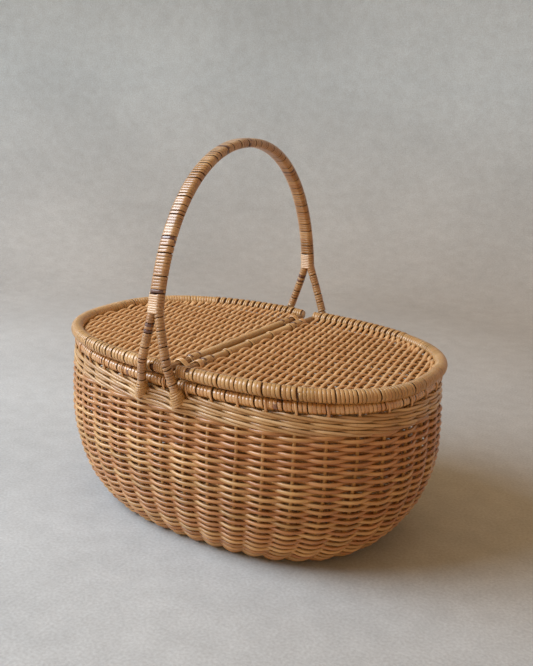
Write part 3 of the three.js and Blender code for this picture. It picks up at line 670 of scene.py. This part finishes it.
def make_base():
    """Rounds of plain weave over the spokes, and a middle woven across straight sticks."""
    weave = Bundle()
    share = round_share(BASE_SPOKES * 6)
    for i in range(int((SIDE_START - 3) / ROW_PITCH)):
        surface, normal = wall.at(share, 2 + i * ROW_PITCH + wander(share, 0.2, 9))
        sway = BASE_SWING * (1 + wander(share, 0.07, 12))
        sway = sway * np.cos(math.pi * BASE_SPOKES * share + math.pi * (i % 2))
        path = surface + normal * (sway - BASE_DEPTH)[:, None]
        weave.add(path, normal, BASE_WIDE, BASE_DEEP, seeds_along(share, 0.6, 1.6), closed=True)
    sticks = Bundle()
    for spoke in round_share(BASE_SPOKES):
        reach = np.linspace(-2, SIDE_START + 6, 24)
        surface, normal = wall.at(np.full(len(reach), spoke), np.maximum(reach, 0))
        path = surface - normal * BASE_DEPTH
        sticks.add(path, normal, SPOKE_RADIUS, SPOKE_RADIUS, rng.random())
    half_long, half_wide = FOOT_HALF_LENGTH - BASE_REACH, FOOT_HALF_WIDTH - BASE_REACH
    down = (0, 0, -1)
    for y in np.arange(-half_wide + 3, half_wide - 2, ROW_PITCH):
        reach = oval_reach(y, half_wide, half_long) + 2
        x = np.linspace(-reach, reach, int(reach) * 2)
        phase = math.pi * (round((y + half_wide) / ROW_PITCH) % 2)
        z = BASE_DEPTH + BASE_SWING * np.cos(math.pi * x / STICK_SPACING + phase)
        path = np.column_stack([x, np.full(len(x), y), z])
        weave.add(path, down, BASE_WIDE, BASE_DEEP, rng.random())
    for k in range(-4, 5):
        x = STICK_SPACING * k
        reach = oval_reach(x, half_long, half_wide) + 3
        y = np.linspace(-reach, reach, 12)
        path = np.column_stack([np.full(len(y), x), y, np.full(len(y), BASE_DEPTH)])
        sticks.add(path, down, SPOKE_RADIUS, SPOKE_RADIUS, rng.random())
    weave.make("base_woven", BASE_REED, "basket", ["base_weave"])
    sticks.make("base_spokes", STAKE, "basket", ["base_sticks"])


def stake_share(k):
    return (k + FIRST_STAKE) / STAKES


def make_side():
    """One long weaver climbs the wall; the odd count of stakes makes it change sides each round."""
    rounds = int(round((SIDE_END - SIDE_START) / ROW_PITCH))
    steps = 10 * STAKES
    t = np.arange(rounds * steps + 1) / steps
    climb = SIDE_START + (SIDE_END - SIDE_START) * t / rounds
    surface, normal = wall.at(t, climb + drift(t, step=0.055, strength=0.2))
    swing = np.cos(math.pi * (STAKES * t - FIRST_STAKE))
    sway = SWING * (1 + drift(t, step=0.03, strength=0.06)) * swing
    path = surface + normal * (sway - STAKE_DEPTH)[:, None]
    wide = WEAVER_WIDE * (1 + drift(t, step=0.4, strength=0.05))
    wide = wide + INSIDE_SPREAD * np.clip(-swing, 0, 1) ** 1.5
    seed = np.clip(0.7 * seeds_along(t, 0.2, 0.8) + 0.35 * (t / rounds) ** 1.2, 0, 1)
    cut = rounds // 2 * steps + steps // 3
    for name, part, old in (
        ("side_woven_low", slice(0, cut + 1), ["side_weave"]),
        ("side_woven_high", slice(cut, None), []),
    ):
        strand = Bundle()
        strand.add(path[part], normal[part], wide[part], WEAVER_DEEP, seed[part])
        strand.make(name, REED, "basket", old)
    stakes = Bundle()
    for k in range(STAKES):
        reach = np.linspace(SIDE_START - 9, WALE_END + 1.2, 90)
        share = stake_share(k) + rng.normal() * 0.0005 + drift(reach, step=40, strength=0.0005)
        surface, normal = wall.at(share, reach)
        stakes.add(surface - normal * STAKE_DEPTH, normal, STAKE_WIDE, STAKE_DEEP, rng.random())
    stakes.make("side_stakes", STAKE, "basket")


def foot_bulge(surface):
    """How far strands stand out over a foot of the handle, or give way beside it higher up."""
    bulge = np.zeros(len(surface))
    for side in SIDES:
        for end in ENDS:
            x, y = leg_x(side, end, FOOT_TIE_HEIGHT), end * FOOT_Y
            away = np.hypot(surface[:, 0] - x, surface[:, 1] - y)
            over = eased((BULGE_TOP - surface[:, 2]) / 2.4 + 0.5)
            low = eased((surface[:, 2] - BULGE_FOOT) / 5.0)
            near = np.exp(-((away / BULGE_REACH) ** 2))
            bulge += near * (BULGE_OUT * over * low - BULGE_IN * (1 - over))
    return bulge


def make_wale():
    """Three rounds of three-rod wale: each strand passes two stakes outside and one inside."""
    wale = Bundle()
    low = wall.distance_at(WALE_FOOT)
    pitch = (WALE_END - low) / WALE_ROWS
    share = round_share(STAKES * 10)
    for row in range(WALE_ROWS):
        for rod in range(3):
            phase = (STAKES * share - FIRST_STAKE - rod - row + 0.5) % 3
            sway = np.select(
                [phase < 0.5, phase < 1.5, phase < 2.5],
                [
                    np.cos(math.pi * (phase - 0.5)),
                    1 - 0.25 * (phase - 0.5),
                    0.75 * np.cos(math.pi * (phase - 1.5)),
                ],
                np.cos(math.pi * (phase - 3.5)))
            level = np.where(phase < 2, 1 - phase, -1 + 2 * (phase - 2))
            level = level + 0.12 * np.sin(math.pi * phase)
            distance = low + (row + 0.5) * pitch + WALE_SLANT * level + wander(share, 0.3, 9)
            surface, normal = wall.at(share, distance)
            out = SWING * (1 + wander(share, 0.06, 9)) * sway - STAKE_DEPTH + foot_bulge(surface)
            path = surface + normal * out[:, None]
            seed = seeds_along(share * STAKES, 4, 11)
            wale.add(path, normal, WALE_WIDE, WALE_DEEP, seed, closed=True)
    wale.make("wale_strands", WALE_REED, "basket", ["wale_band"])


# Hoops

def outline_line(inset, height, saddle):
    """Closed centre line set in from the outline of the lids."""
    ring = oval_ring(HALF_LENGTH, HALF_WIDTH, 2400)
    ring = np.concatenate([ring, ring[:1]])
    halves = np.array([HALF_LENGTH, HALF_WIDTH])
    normal = unit(np.sign(ring) * (np.abs(ring) / halves) ** (OUTLINE_POWER - 1) / halves)
    plan = ring - normal * inset
    z = height + saddle * (plan[:, 0] / HALF_LENGTH) ** 2
    return Line(np.column_stack([plan, z]), np.column_stack([normal, np.zeros(len(z))]))


def gap_places(start, end, spacings):
    """Places between two distances where a turn stands off from the next."""
    places = start + np.cumsum(rng.choice(spacings, int((end - start) / min(spacings)) + 2))
    return places[places < end]


def make_rim():
    line = outline_line(RIM_INSET + RIM_RADIUS, RIM_HEIGHT, RIM_RISE)
    wrap = Bundle()
    knots = [stake_share(k) * line.length for k in range(STAKES)]
    loose = gap_places(8, line.length - 8, [15, 22, 26, 34, 48])
    stations = RIM_TURNS.between(0, line.length, [*knots, *loose])
    dark = rng.choice(len(stations) - 2, 5, replace=False)
    RIM_TURNS.wind(wrap, line, stations, RIM_ROD / 2, start=0.2, dark=dark)
    for place in knots:
        angle = np.linspace(1.9, -1.75, 18)
        at = place + 1.4 * (1.9 - angle) + rng.normal() * 0.4
        centre, across, _ = line.at(at)
        reach = RIM_RADIUS + 0.7
        path = centre + across * (reach * np.cos(angle))[:, None]
        path[:, 2] += reach * np.sin(angle) - 4.2 * eased(-np.sin(angle))
        wrap.add(path, path - centre, LOOP_WIDE, 0.75, 0.6 * rng.random(), sides=6)
    wrap.make("rim_wound", RIM_CANE, "basket", ["rim_wrap_left", "rim_wrap_right"])


def hinge_x(side):
    return BAR_X + side * HINGE_OFFSET


def hoop_inner_y(x):
    """Half width inside the lid hoop at an X."""
    long_half, wide_half = HALF_LENGTH - 2 * LID_RADIUS, HALF_WIDTH - 2 * LID_RADIUS
    share = 1 - (np.abs(x) / long_half) ** OUTLINE_POWER
    return wide_half * np.maximum(share, 0) ** (1 / OUTLINE_POWER)


def half_hoop(side):
    """Centre line of one lid's hoop, from its front end round to its back end."""
    whole = outline_line(LID_RADIUS, LID_HEIGHT, 0)
    cut = BAR_X + side * LID_HOOP_GAP / 2
    points, across = whole.points[:-1], whole.across[:-1]
    if side > 0:
        half = len(points) // 2
        points, across = np.roll(points, half, 0), np.roll(across, half, 0)
    keep = side * (points[:, 0] - cut) > 0
    points, across = points[keep], across[keep]
    if points[0, 1] > 0:
        points, across = points[::-1], across[::-1]
    return Line(points, across)


def hoop_place(hoop, x, end, side):
    """Distance along the hoop beside a weaver's end."""
    half = len(hoop.distance) // 2
    part = slice(0, half) if end < 0 else slice(half, None)
    xs, ds = side * hoop.points[part, 0], hoop.distance[part]
    order = np.argsort(xs)
    slope = np.clip(hoop_inner_y(x) / (HALF_WIDTH - 2 * LID_RADIUS), 0, 1)
    return np.interp(side * x + LID_RADIUS * (1 - slope ** 1.5), xs[order], ds[order])


def hoop_loop(bundle, hoop, middle, side, slim):
    """A strand laid over the hoop from its inside to its outside."""
    lift, depth = (0.6, 0.5) if slim else (1.1, 1.0)
    radius = LID_ROD / 2 + lift
    angle = np.linspace(4.0, -1.9, 18)
    centre, across, _ = hoop.at(middle + 0.9 * side * (angle - math.pi / 2))
    path = centre + across * (radius * np.cos(angle))[:, None]
    path[:, 2] += radius * np.sin(angle)
    bundle.add(path, path - centre, LOOP_WIDE, depth, LIGHT_SHARE * rng.random(), sides=6)


def make_lid_weave(side, xs):
    """Weavers run across the lid, over and under its ribs, and fold in pairs over the far hoop."""
    weave = Bundle()
    for i, x in enumerate(xs):
        y_end = hoop_inner_y(x)
        y = np.linspace(-y_end + 1, y_end - 0.5, max(int(y_end * 2 / 2.4), 14))
        sway = LID_SWING * (1 + drift(y - y[0], step=18, strength=0.07))
        sway *= np.cos(math.pi * (y / RIB_SPACING - 0.5) + math.pi * (i % 2))
        near = eased((y + y_end) / 7)
        far = eased((y - y_end + FOLD) / FOLD)
        pair = (xs[i - i % 2] + xs[i - i % 2 + 1]) / 2
        lean = 0.9 * (2 * (i % 2) - 1) * side
        across = x + drift(y - y[0], step=22, strength=0.28) * near * (1 - far)
        across += (pair + lean - x) * far
        z = PANEL_HEIGHT + sway * near * (1 - far)
        z = z + (FOLD_LIFT + 0.7 * lean * side) * far - 1.2 * (1 - near)
        path = np.column_stack([across, y, z])
        wide = LID_WEAVER_WIDE * rng.uniform(0.95, 1.05)
        wide = wide + 0.5 * np.clip(-sway / LID_SWING, 0, 1) * near * (1 - far)
        weave.add(path, (0, 0, 1), wide, LID_WEAVER_DEEP, seeds_along(y - y[0], 60, 260))
    body = f"{SIDE_NAME[side]}_lid"
    weave.make(f"{body}_woven", LID_REED, body, [f"{body}_weave"])


def make_lid_hoop(side, xs):
    """The hoop's winding: broad turns, finer ones between the folds, and its pale cut ends."""
    body = f"{SIDE_NAME[side]}_lid"
    hoop = half_hoop(side)
    wound = Bundle()
    rod = LID_ROD / 2
    near_open = hoop_place(hoop, side * OPEN_REACH, -1, side)
    far_open = hoop_place(hoop, side * OPEN_REACH, 1, side)
    seam = 0.17 if side > 0 else 0.33
    stations = HOOP_END_TURNS.between(0.4, HOOP_FINE - 0.6)
    HOOP_END_TURNS.wind(wound, hoop, stations, rod, seed=0.05)
    gaps = gap_places(HOOP_FINE, near_open, [9, 14, 18, 27])
    near = HOOP_NEAR_TURNS.between(HOOP_FINE + 1.4, near_open, gaps)
    HOOP_NEAR_TURNS.wind(wound, hoop, near, rod, start=seam)
    gaps = gap_places(near_open, far_open, [14, 20, 31, 42])
    bow = HOOP_BOW_TURNS.between(near[-1] + 0.3, far_open, gaps)
    HOOP_BOW_TURNS.wind(wound, hoop, bow, rod, start=seam)
    HOOP_END_TURNS.wind(wound, hoop, hoop.length - np.array([7, 4, 1]), rod, seed=0.4)
    for pair in zip(xs[::2], xs[1::2]):
        place = hoop_place(hoop, sum(pair) / 2, 1, side)
        if place > far_open - 6:
            for k in (-1, 1):
                slim = hoop.length - place < HOOP_SLIM
                hoop_loop(wound, hoop, place + 1.3 * k, side, slim)
    wound.make(f"{body}_hoop_wound", LID_CANE, body, [f"{body}_hoop_wrap"])
    cut_ends = Bundle()
    for distance in (0.0, hoop.length):
        centre, across, up = hoop.at(np.array([distance]))
        path = centre + np.cross(across, up) * np.array([[1.0], [-0.7]])
        cut_ends.add(path, across, HOOP_END_RADIUS, HOOP_END_RADIUS, rng.random(), sides=16)
    cut_ends.make(f"{body}_hoop_ends", PALE_CANE, body)


def rib_y(k):
    return (k - (RIBS_PER_LID - 1) / 2) * RIB_SPACING


def make_lid(side):
    body = f"{SIDE_NAME[side]}_lid"
    first = hinge_x(side) + side * (EDGE_RADIUS + LID_WEAVER_WIDE + 0.2)
    last = side * (HALF_LENGTH - 2 * LID_RADIUS - 2.6)
    xs = np.linspace(first, last, 2 * int(round(abs(last - first) / LID_PITCH / 2)))
    make_lid_weave(side, xs)
    make_lid_hoop(side, xs)

    ribs = Bundle()
    long_half, wide_half = HALF_LENGTH - 2 * LID_RADIUS, HALF_WIDTH - 2 * LID_RADIUS
    for k in range(RIBS_PER_LID):
        y = rib_y(k)
        end_x = oval_reach(y, wide_half, long_half)
        x = np.linspace(hinge_x(side) + side * EDGE_ROD / 2, side * (end_x + 1), 40)
        y = y + drift(np.abs(x - x[0]), step=30, strength=0.35)
        path = np.column_stack([x, y, np.full(len(x), PANEL_HEIGHT)])
        ribs.add(path, (0, 0, 1), RIB_WIDE, RIB_DEEP, rng.random())
    solids = [f"{body}_rib_{k + 1:02d}" for k in range(RIBS_PER_LID)]
    ribs.make(f"{body}_ribs", STAKE, body, solids)
    make_edge(side)


def make_edge(side):
    """The rod on the hinge line, finely wound; on the right every other rib is looped over it."""
    body = f"{SIDE_NAME[side]}_lid"
    edge = Bundle()
    hinge = hinge_x(side)
    places = np.linspace(-EDGE_WRAP_END, EDGE_WRAP_END, 60)
    line = Line([(hinge, y, EDGE_HEIGHT) for y in places], (1, 0, 0))
    joints = [rib_y(k) for k in range(3, RIBS_PER_LID - 1, 2)] if side > 0 else []
    cuts = [-EDGE_WRAP_END, *joints, EDGE_WRAP_END]
    fine = EDGE_TURNS[side]
    for a, b in zip(cuts, cuts[1:]):
        start = a + (2.2 if a in joints else EDGE_MARGIN) + EDGE_WRAP_END
        stop = b - (1.9 if b in joints else EDGE_MARGIN) + EDGE_WRAP_END
        # The first turn after each rib loop takes the darkest tone: painted shadow of the notch
        # under the loop.
        dark = [0] if a in joints else []
        fine.wind(edge, line, fine.between(start, stop), EDGE_ROD / 2, dark=dark)
    for end in ENDS:
        stop = EDGE_WRAP_END * (1 + end) - 1.6 * end
        turns = EDGE_LASHING_TURNS.between(*sorted((stop, stop - end * EDGE_LASHING)))
        dark = [0, len(turns) - 2]
        EDGE_LASHING_TURNS.wind(edge, line, turns, EDGE_RADIUS, seed=0.1, start=0.2, dark=dark)
    for y in joints:
        angle = np.linspace(-0.6, 2.5, 14)
        reach = EDGE_ROD / 2 + 1.5
        loop = np.column_stack([
            hinge + reach * np.cos(angle),
            y + 1.2 - 1.1 * angle,
            EDGE_HEIGHT + reach * np.sin(angle),
        ])
        tail = [(hinge + 13.0, y, PANEL_HEIGHT + 0.6), (hinge + 9.0, y + 0.8, PANEL_HEIGHT + 1.0)]
        path = np.concatenate([tail, loop])
        out = path - (hinge, 0, EDGE_HEIGHT - 0.01)
        out[:, 1] = 0
        edge.add(path, out, 1.5, 0.85, 0.7, sides=6)
    edge.make(f"{body}_edge_wound", LID_CANE, body, [f"{body}_edge_wrap"])


# Handle

def leg_x(side, end, z):
    spread = FRONT_LEG_SPREAD if end < 0 else BACK_LEG_SPREAD
    drop = np.maximum(FORK_HEIGHT - z, 0) / (FORK_HEIGHT - FOOT_TIE_HEIGHT)
    bent = (np.hypot(drop, LEG_BEND) - LEG_BEND) / BEND_SCALE
    return HANDLE_X + side * (ROD_SPREAD + (spread - ROD_SPREAD) * bent)


def arch_points(low):
    """Centre line of the bound pair, from a height on the front side over to the back."""
    angle = np.linspace(0, math.pi, 2001)
    c = np.cos(angle)
    y = -HANDLE_HALF_SPAN * np.sign(c) * np.abs(c) ** (2 / ARCH_POWER)
    z = ARCH_SPRING + (HANDLE_TOP - ARCH_SPRING) * np.sin(angle) ** (2 / ARCH_POWER)
    points = np.column_stack([np.full(len(y), HANDLE_X), y, z])
    return points[z >= low]


def leg_y(end, z):
    """The arch down to its spring, then straight to the knee and in to the foot."""
    arch = arch_points(ARCH_SPRING)[:1000]
    drop = np.maximum(LEG_KNEE - z, 0) / (LEG_KNEE - FOOT_HEIGHT)
    below = HANDLE_HALF_SPAN - (HANDLE_HALF_SPAN - FOOT_Y) * drop
    return end * np.where(z > ARCH_SPRING, -np.interp(z, arch[:, 2], arch[:, 1]), below)


def leg_line(side, end, top):
    z = np.linspace(top, FOOT_HEIGHT + 1, 160)
    return Line(np.column_stack([leg_x(side, end, z), leg_y(end, z), z]), (1, 0, 0)), z


def make_handle():
    line = Line(arch_points(FORK_HEIGHT + BIND_HEIGHT), (1, 0, 0))
    wrap = Bundle()
    gaps = gap_places(3, line.length - 3, [9.3, 12.4, 15.5, 21.7])
    stations = HANDLE_TURNS.between(0, line.length, gaps)
    dark = [0, *rng.choice(len(stations) - 4, 4, replace=False)]
    HANDLE_TURNS.wind(
        wrap, line, stations, HANDLE_RADIUS, spread=ROD_SPREAD, start=0.16, dark=dark)
    wrap.make("handle_wound", HANDLE_CANE, "basket", ["handle_wrap"])
    for end in ENDS:
        make_fork(end)
        for side in SIDES:
            make_leg(side, end)


def make_fork(end):
    """Pale cane holds the pair where it parts; it lies under the wrap of the right leg."""
    binding = Bundle()
    z = np.linspace(FORK_HEIGHT + BIND_HEIGHT, FORK_HEIGHT - 5, 60)
    line = Line(np.column_stack([np.full(60, HANDLE_X - 0.8), leg_y(end, z), z]), (1, 0, 0))
    for k in range(FORK_LOOPS):
        distance = 1.3 + k * (line.length - 2.6) / (FORK_LOOPS - 1)
        spread = float(leg_x(1, end, np.interp(distance, line.distance, z)) - HANDLE_X)
        stations = [distance - 1.1, distance + 1.1]
        FORK_TURNS.wind(
            binding, line, stations, HANDLE_RADIUS, rng.random(), spread=spread - 0.4, start=0.6)
    name = f"fork_binding_{END_NAME[end]}"
    binding.make(name + "_wound", PALE_CANE, "basket", [name])


def make_leg(side, end):
    """One leg's winding, and the cane that swirls round its foot."""
    top = FORK_HEIGHT + BIND_HEIGHT - 0.5 if side > 0 else FORK_HEIGHT - 4.5
    line, z = leg_line(side, end, top)
    last = np.interp(-(FOOT_TIE_HEIGHT + 4.5), -z, line.distance)
    turns = LEG_TURNS[side]
    gaps = gap_places(1, last, [9.3, 12.4, 16])
    leg = Bundle()
    dark = [4, 6] if side < 0 else []
    turns.wind(leg, line, turns.between(0, last, gaps), HANDLE_RADIUS, start=0.2, dark=dark)
    swirl = np.linspace(last - 0.5, line.length - 2, TIE_TURNS + 1)
    t = np.linspace(0, TIE_TURNS, 100)
    centre, across, up = line.at(np.interp(t, np.arange(TIE_TURNS + 1), swirl))
    reach = HANDLE_RADIUS + 0.8 + 1.9 * eased(t / 3)
    turn = 2 * math.pi * t
    out = across * np.cos(turn)[:, None] + up * np.sin(turn)[:, None]
    path = centre + out * reach[:, None]
    path[:, 2] += 1.6 * np.cos(turn + 0.6) * eased(t / 2)
    tie = Bundle()
    tie.add(path, out, LOOP_WIDE, 1.0, 0.45)
    wrap = f"{SIDE_NAME[side]}_leg_wrap_{END_NAME[end]}"
    foot = f"{SIDE_NAME[side]}_foot_tie_{END_NAME[end]}"
    leg.make(wrap + "_wound", HANDLE_CANE, "basket", [wrap])
    tie.make(foot + "_wound", LID_CANE, "basket", [foot])


def bar_line(end, low, high):
    return Line([(BAR_X, end * y, BAR_HEIGHT) for y in np.linspace(low, high, 20)], (1, 0, 0))


def make_hinges():
    """Cane that ties each lid's edge rod to the crossbar, and lashings on the bar's bare ends."""
    width = 2 * (HINGE_CANE + 2 * SEAT_GAP) + HINGE_CANE
    right_y = EDGE_WRAP_END + 0.5 + width / 2
    left_y = right_y + 0.5 + width
    bar = np.array([BAR_X, 0, BAR_HEIGHT])
    for side in SIDES:
        rod = np.array([hinge_x(side), 0, EDGE_HEIGHT])
        middle = (bar + rod) / 2
        for end in ENDS:
            y = end * (right_y if side > 0 else left_y)
            points = [(middle[0], y + t, middle[2]) for t in np.linspace(-6, 6, 9)]
            loop = Bundle()
            HINGE_TURNS.wind(
                loop, Line(points, rod - bar), 6 + np.linspace(-3.2, 3.2, 5), BAR_DIAMETER / 2,
                seed=0.3 * rng.random(), spread=np.linalg.norm(rod - bar) / 2)
            name = f"{SIDE_NAME[side]}_hinge_loop_{END_NAME[end]}"
            loop.make(name + "_wound", RIM_CANE, "basket", [name])
    lashing = Bundle()
    low, high = left_y + width / 2 + 0.4, HALF_WIDTH - RIM_INSET - 2 * RIM_RADIUS - 0.8
    for end in ENDS:
        line = bar_line(end, low, high)
        stations = BAR_TURNS.between(0.8, line.length - 0.8)
        BAR_TURNS.wind(lashing, line, stations, BAR_DIAMETER / 2, seed=0.0)
        tip = bar_line(end, high, high + 2 * RIM_RADIUS)
        stations = BAR_TIP_TURNS.between(1.0, tip.length - 1.5)
        BAR_TIP_TURNS.wind(lashing, tip, stations, BAR_DIAMETER / 2, seed=0.6, start=0.3)
    lashing.make("crossbar_lashing", RIM_CANE, "basket")


def dress_frame():
    """Poles that show between turns of cane keep their solids, and so do the bare ends of rods."""
    for name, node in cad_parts.items():
        bare = name == "crossbar" or "edge_rod" in name
        node.data.materials.clear()
        node.data.materials.append(BARE_ROD if bare else POLE)


# Stage, light and camera

def camera_axes():
    a, e = math.radians(CAMERA_AZIMUTH), math.radians(CAMERA_ELEVATION)
    back = Vector((math.sin(a) * math.cos(e), -math.cos(a) * math.cos(e), math.sin(e)))
    right = (-back).cross(Vector((0, 0, 1))).normalized()
    return right, right.cross(-back), back


def make_camera():
    right, up, back = camera_axes()
    roll = math.radians(CAMERA_ROLL)
    tilted_right = right * math.cos(roll) + up * math.sin(roll)
    tilted_up = up * math.cos(roll) - right * math.sin(roll)
    data = bpy.data.cameras.new("camera")
    data.lens = CAMERA_LENS
    data.sensor_width = 36
    data.clip_start = 0.02
    data.clip_end = 50
    camera = bpy.data.objects.new("camera", data)
    turn = Matrix((tilted_right, tilted_up, back)).transposed().to_4x4()
    camera.matrix_world = Matrix.Translation(Vector(CAMERA_TARGET) + back * CAMERA_DISTANCE) @ turn
    bpy.context.scene.collection.objects.link(camera)
    bpy.context.scene.camera = camera


def plaster_material():
    """Plaster with faint clouds and grain; it throws a warmer light on the object than it shows."""
    material = bpy.data.materials.new("studio")
    material.use_nodes = True
    tree = material.node_tree
    link = tree.links.new
    shader = tree.nodes["Principled BSDF"]
    shader.inputs["Roughness"].default_value = STAGE_ROUGH
    place = tree.nodes.new("ShaderNodeTexCoord")
    split = tree.nodes.new("ShaderNodeSeparateXYZ")
    link(place.outputs["Object"], split.inputs[0])
    climb = tree.nodes.new("ShaderNodeMapRange")
    climb.inputs["From Min"].default_value = 0.0
    climb.inputs["From Max"].default_value = 0.5
    link(split.outputs["Z"], climb.inputs[0])
    shown = mixed(tree, "MIX", climb.outputs[0], FLOOR_COLOUR, WALL_COLOUR)
    for scale, detail, swing in ((2.2, 6, 0.09), (38, 3, 0.05), (330, 2, 0.09)):
        cloud = tree.nodes.new("ShaderNodeTexNoise")
        cloud.inputs["Scale"].default_value = scale
        cloud.inputs["Detail"].default_value = detail
        link(place.outputs["Object"], cloud.inputs["Vector"])
        shade = tree.nodes.new("ShaderNodeValToRGB")
        ends = (0.3, 1 - 2 * swing), (0.7, 1.0)
        for element, (position, level) in zip(shade.color_ramp.elements, ends):
            element.position = position
            element.color = (level, level, level, 1)
        link(cloud.outputs["Fac"], shade.inputs[0])
        shown = mixed(tree, "MULTIPLY", 1.0, shown, shade.outputs[0])
    rays = tree.nodes.new("ShaderNodeLightPath")
    seen = tree.nodes.new("ShaderNodeMath")
    seen.operation = "MAXIMUM"
    link(rays.outputs["Is Camera Ray"], seen.inputs[0])
    link(rays.outputs["Is Glossy Ray"], seen.inputs[1])
    colour = mixed(tree, "MIX", seen.outputs[0], BOUNCE_COLOUR, shown)
    link(colour, shader.inputs["Base Color"])
    return material


def make_stage():
    """A pale floor that sweeps up into a round wall, in metres."""
    flat, bend, top = 1.05, 0.75, 3.2
    profile = [(r, 0.0) for r in np.linspace(0.0, flat, 12)[1:]]
    for t in np.linspace(0, math.pi / 2, 16)[1:]:
        profile.append((flat + bend * math.sin(t), bend * (1 - math.cos(t))))
    profile.append((flat + bend, top))
    around = 96
    points = [(0.0, 0.0, 0.0)]
    for radius, z in profile:
        for k in range(around):
            angle = 2 * math.pi * k / around
            points.append((radius * math.cos(angle), radius * math.sin(angle), z))
    faces = [(0, 1 + k, 1 + (k + 1) % around) for k in range(around)]
    for ring in range(len(profile) - 1):
        a, b = 1 + ring * around, 1 + (ring + 1) * around
        for k in range(around):
            faces.append((a + k, b + k, b + (k + 1) % around, a + (k + 1) % around))
    mesh = bpy.data.meshes.new("studio")
    mesh.from_pydata(points, [], faces)
    mesh.polygons.foreach_set("use_smooth", np.ones(len(faces), bool))
    mesh.materials.append(plaster_material())
    studio = bpy.data.objects.new("studio", mesh)
    bpy.context.scene.collection.objects.link(studio)


def make_light():
    """A window to the left of the photograph's camera, and a warm sky."""
    right, _, back = camera_axes()
    toward = Vector((back.x, back.y, 0)).normalized()
    data = bpy.data.lights.new("window", "AREA")
    data.shape = "DISK"
    data.size = LAMP_SIZE
    data.energy = LAMP_POWER
    data.color = LAMP_COLOUR
    lamp = bpy.data.objects.new("window", data)
    lamp.location = -right * LAMP_LEFT + toward * LAMP_NEAR + Vector((0, 0, LAMP_HEIGHT))
    lamp.rotation_euler = (Vector(LAMP_AIM) - lamp.location).to_track_quat("-Z", "Y").to_euler()
    lamp.visible_camera = False
    bpy.context.scene.collection.objects.link(lamp)
    world = bpy.data.worlds.new("world")
    bpy.context.scene.world = world
    world.use_nodes = True
    sky = world.node_tree.nodes["Background"]
    sky.inputs["Color"].default_value = (*SKY_COLOUR, 1)
    sky.inputs["Strength"].default_value = SKY_STRENGTH


make_base()
make_side()
make_wale()
make_rim()
for lid_side in SIDES:
    make_lid(lid_side)
make_handle()
make_hinges()
dress_frame()
make_stage()
make_light()
make_camera()
bpy.context.scene.view_settings.view_transform = "Standard"
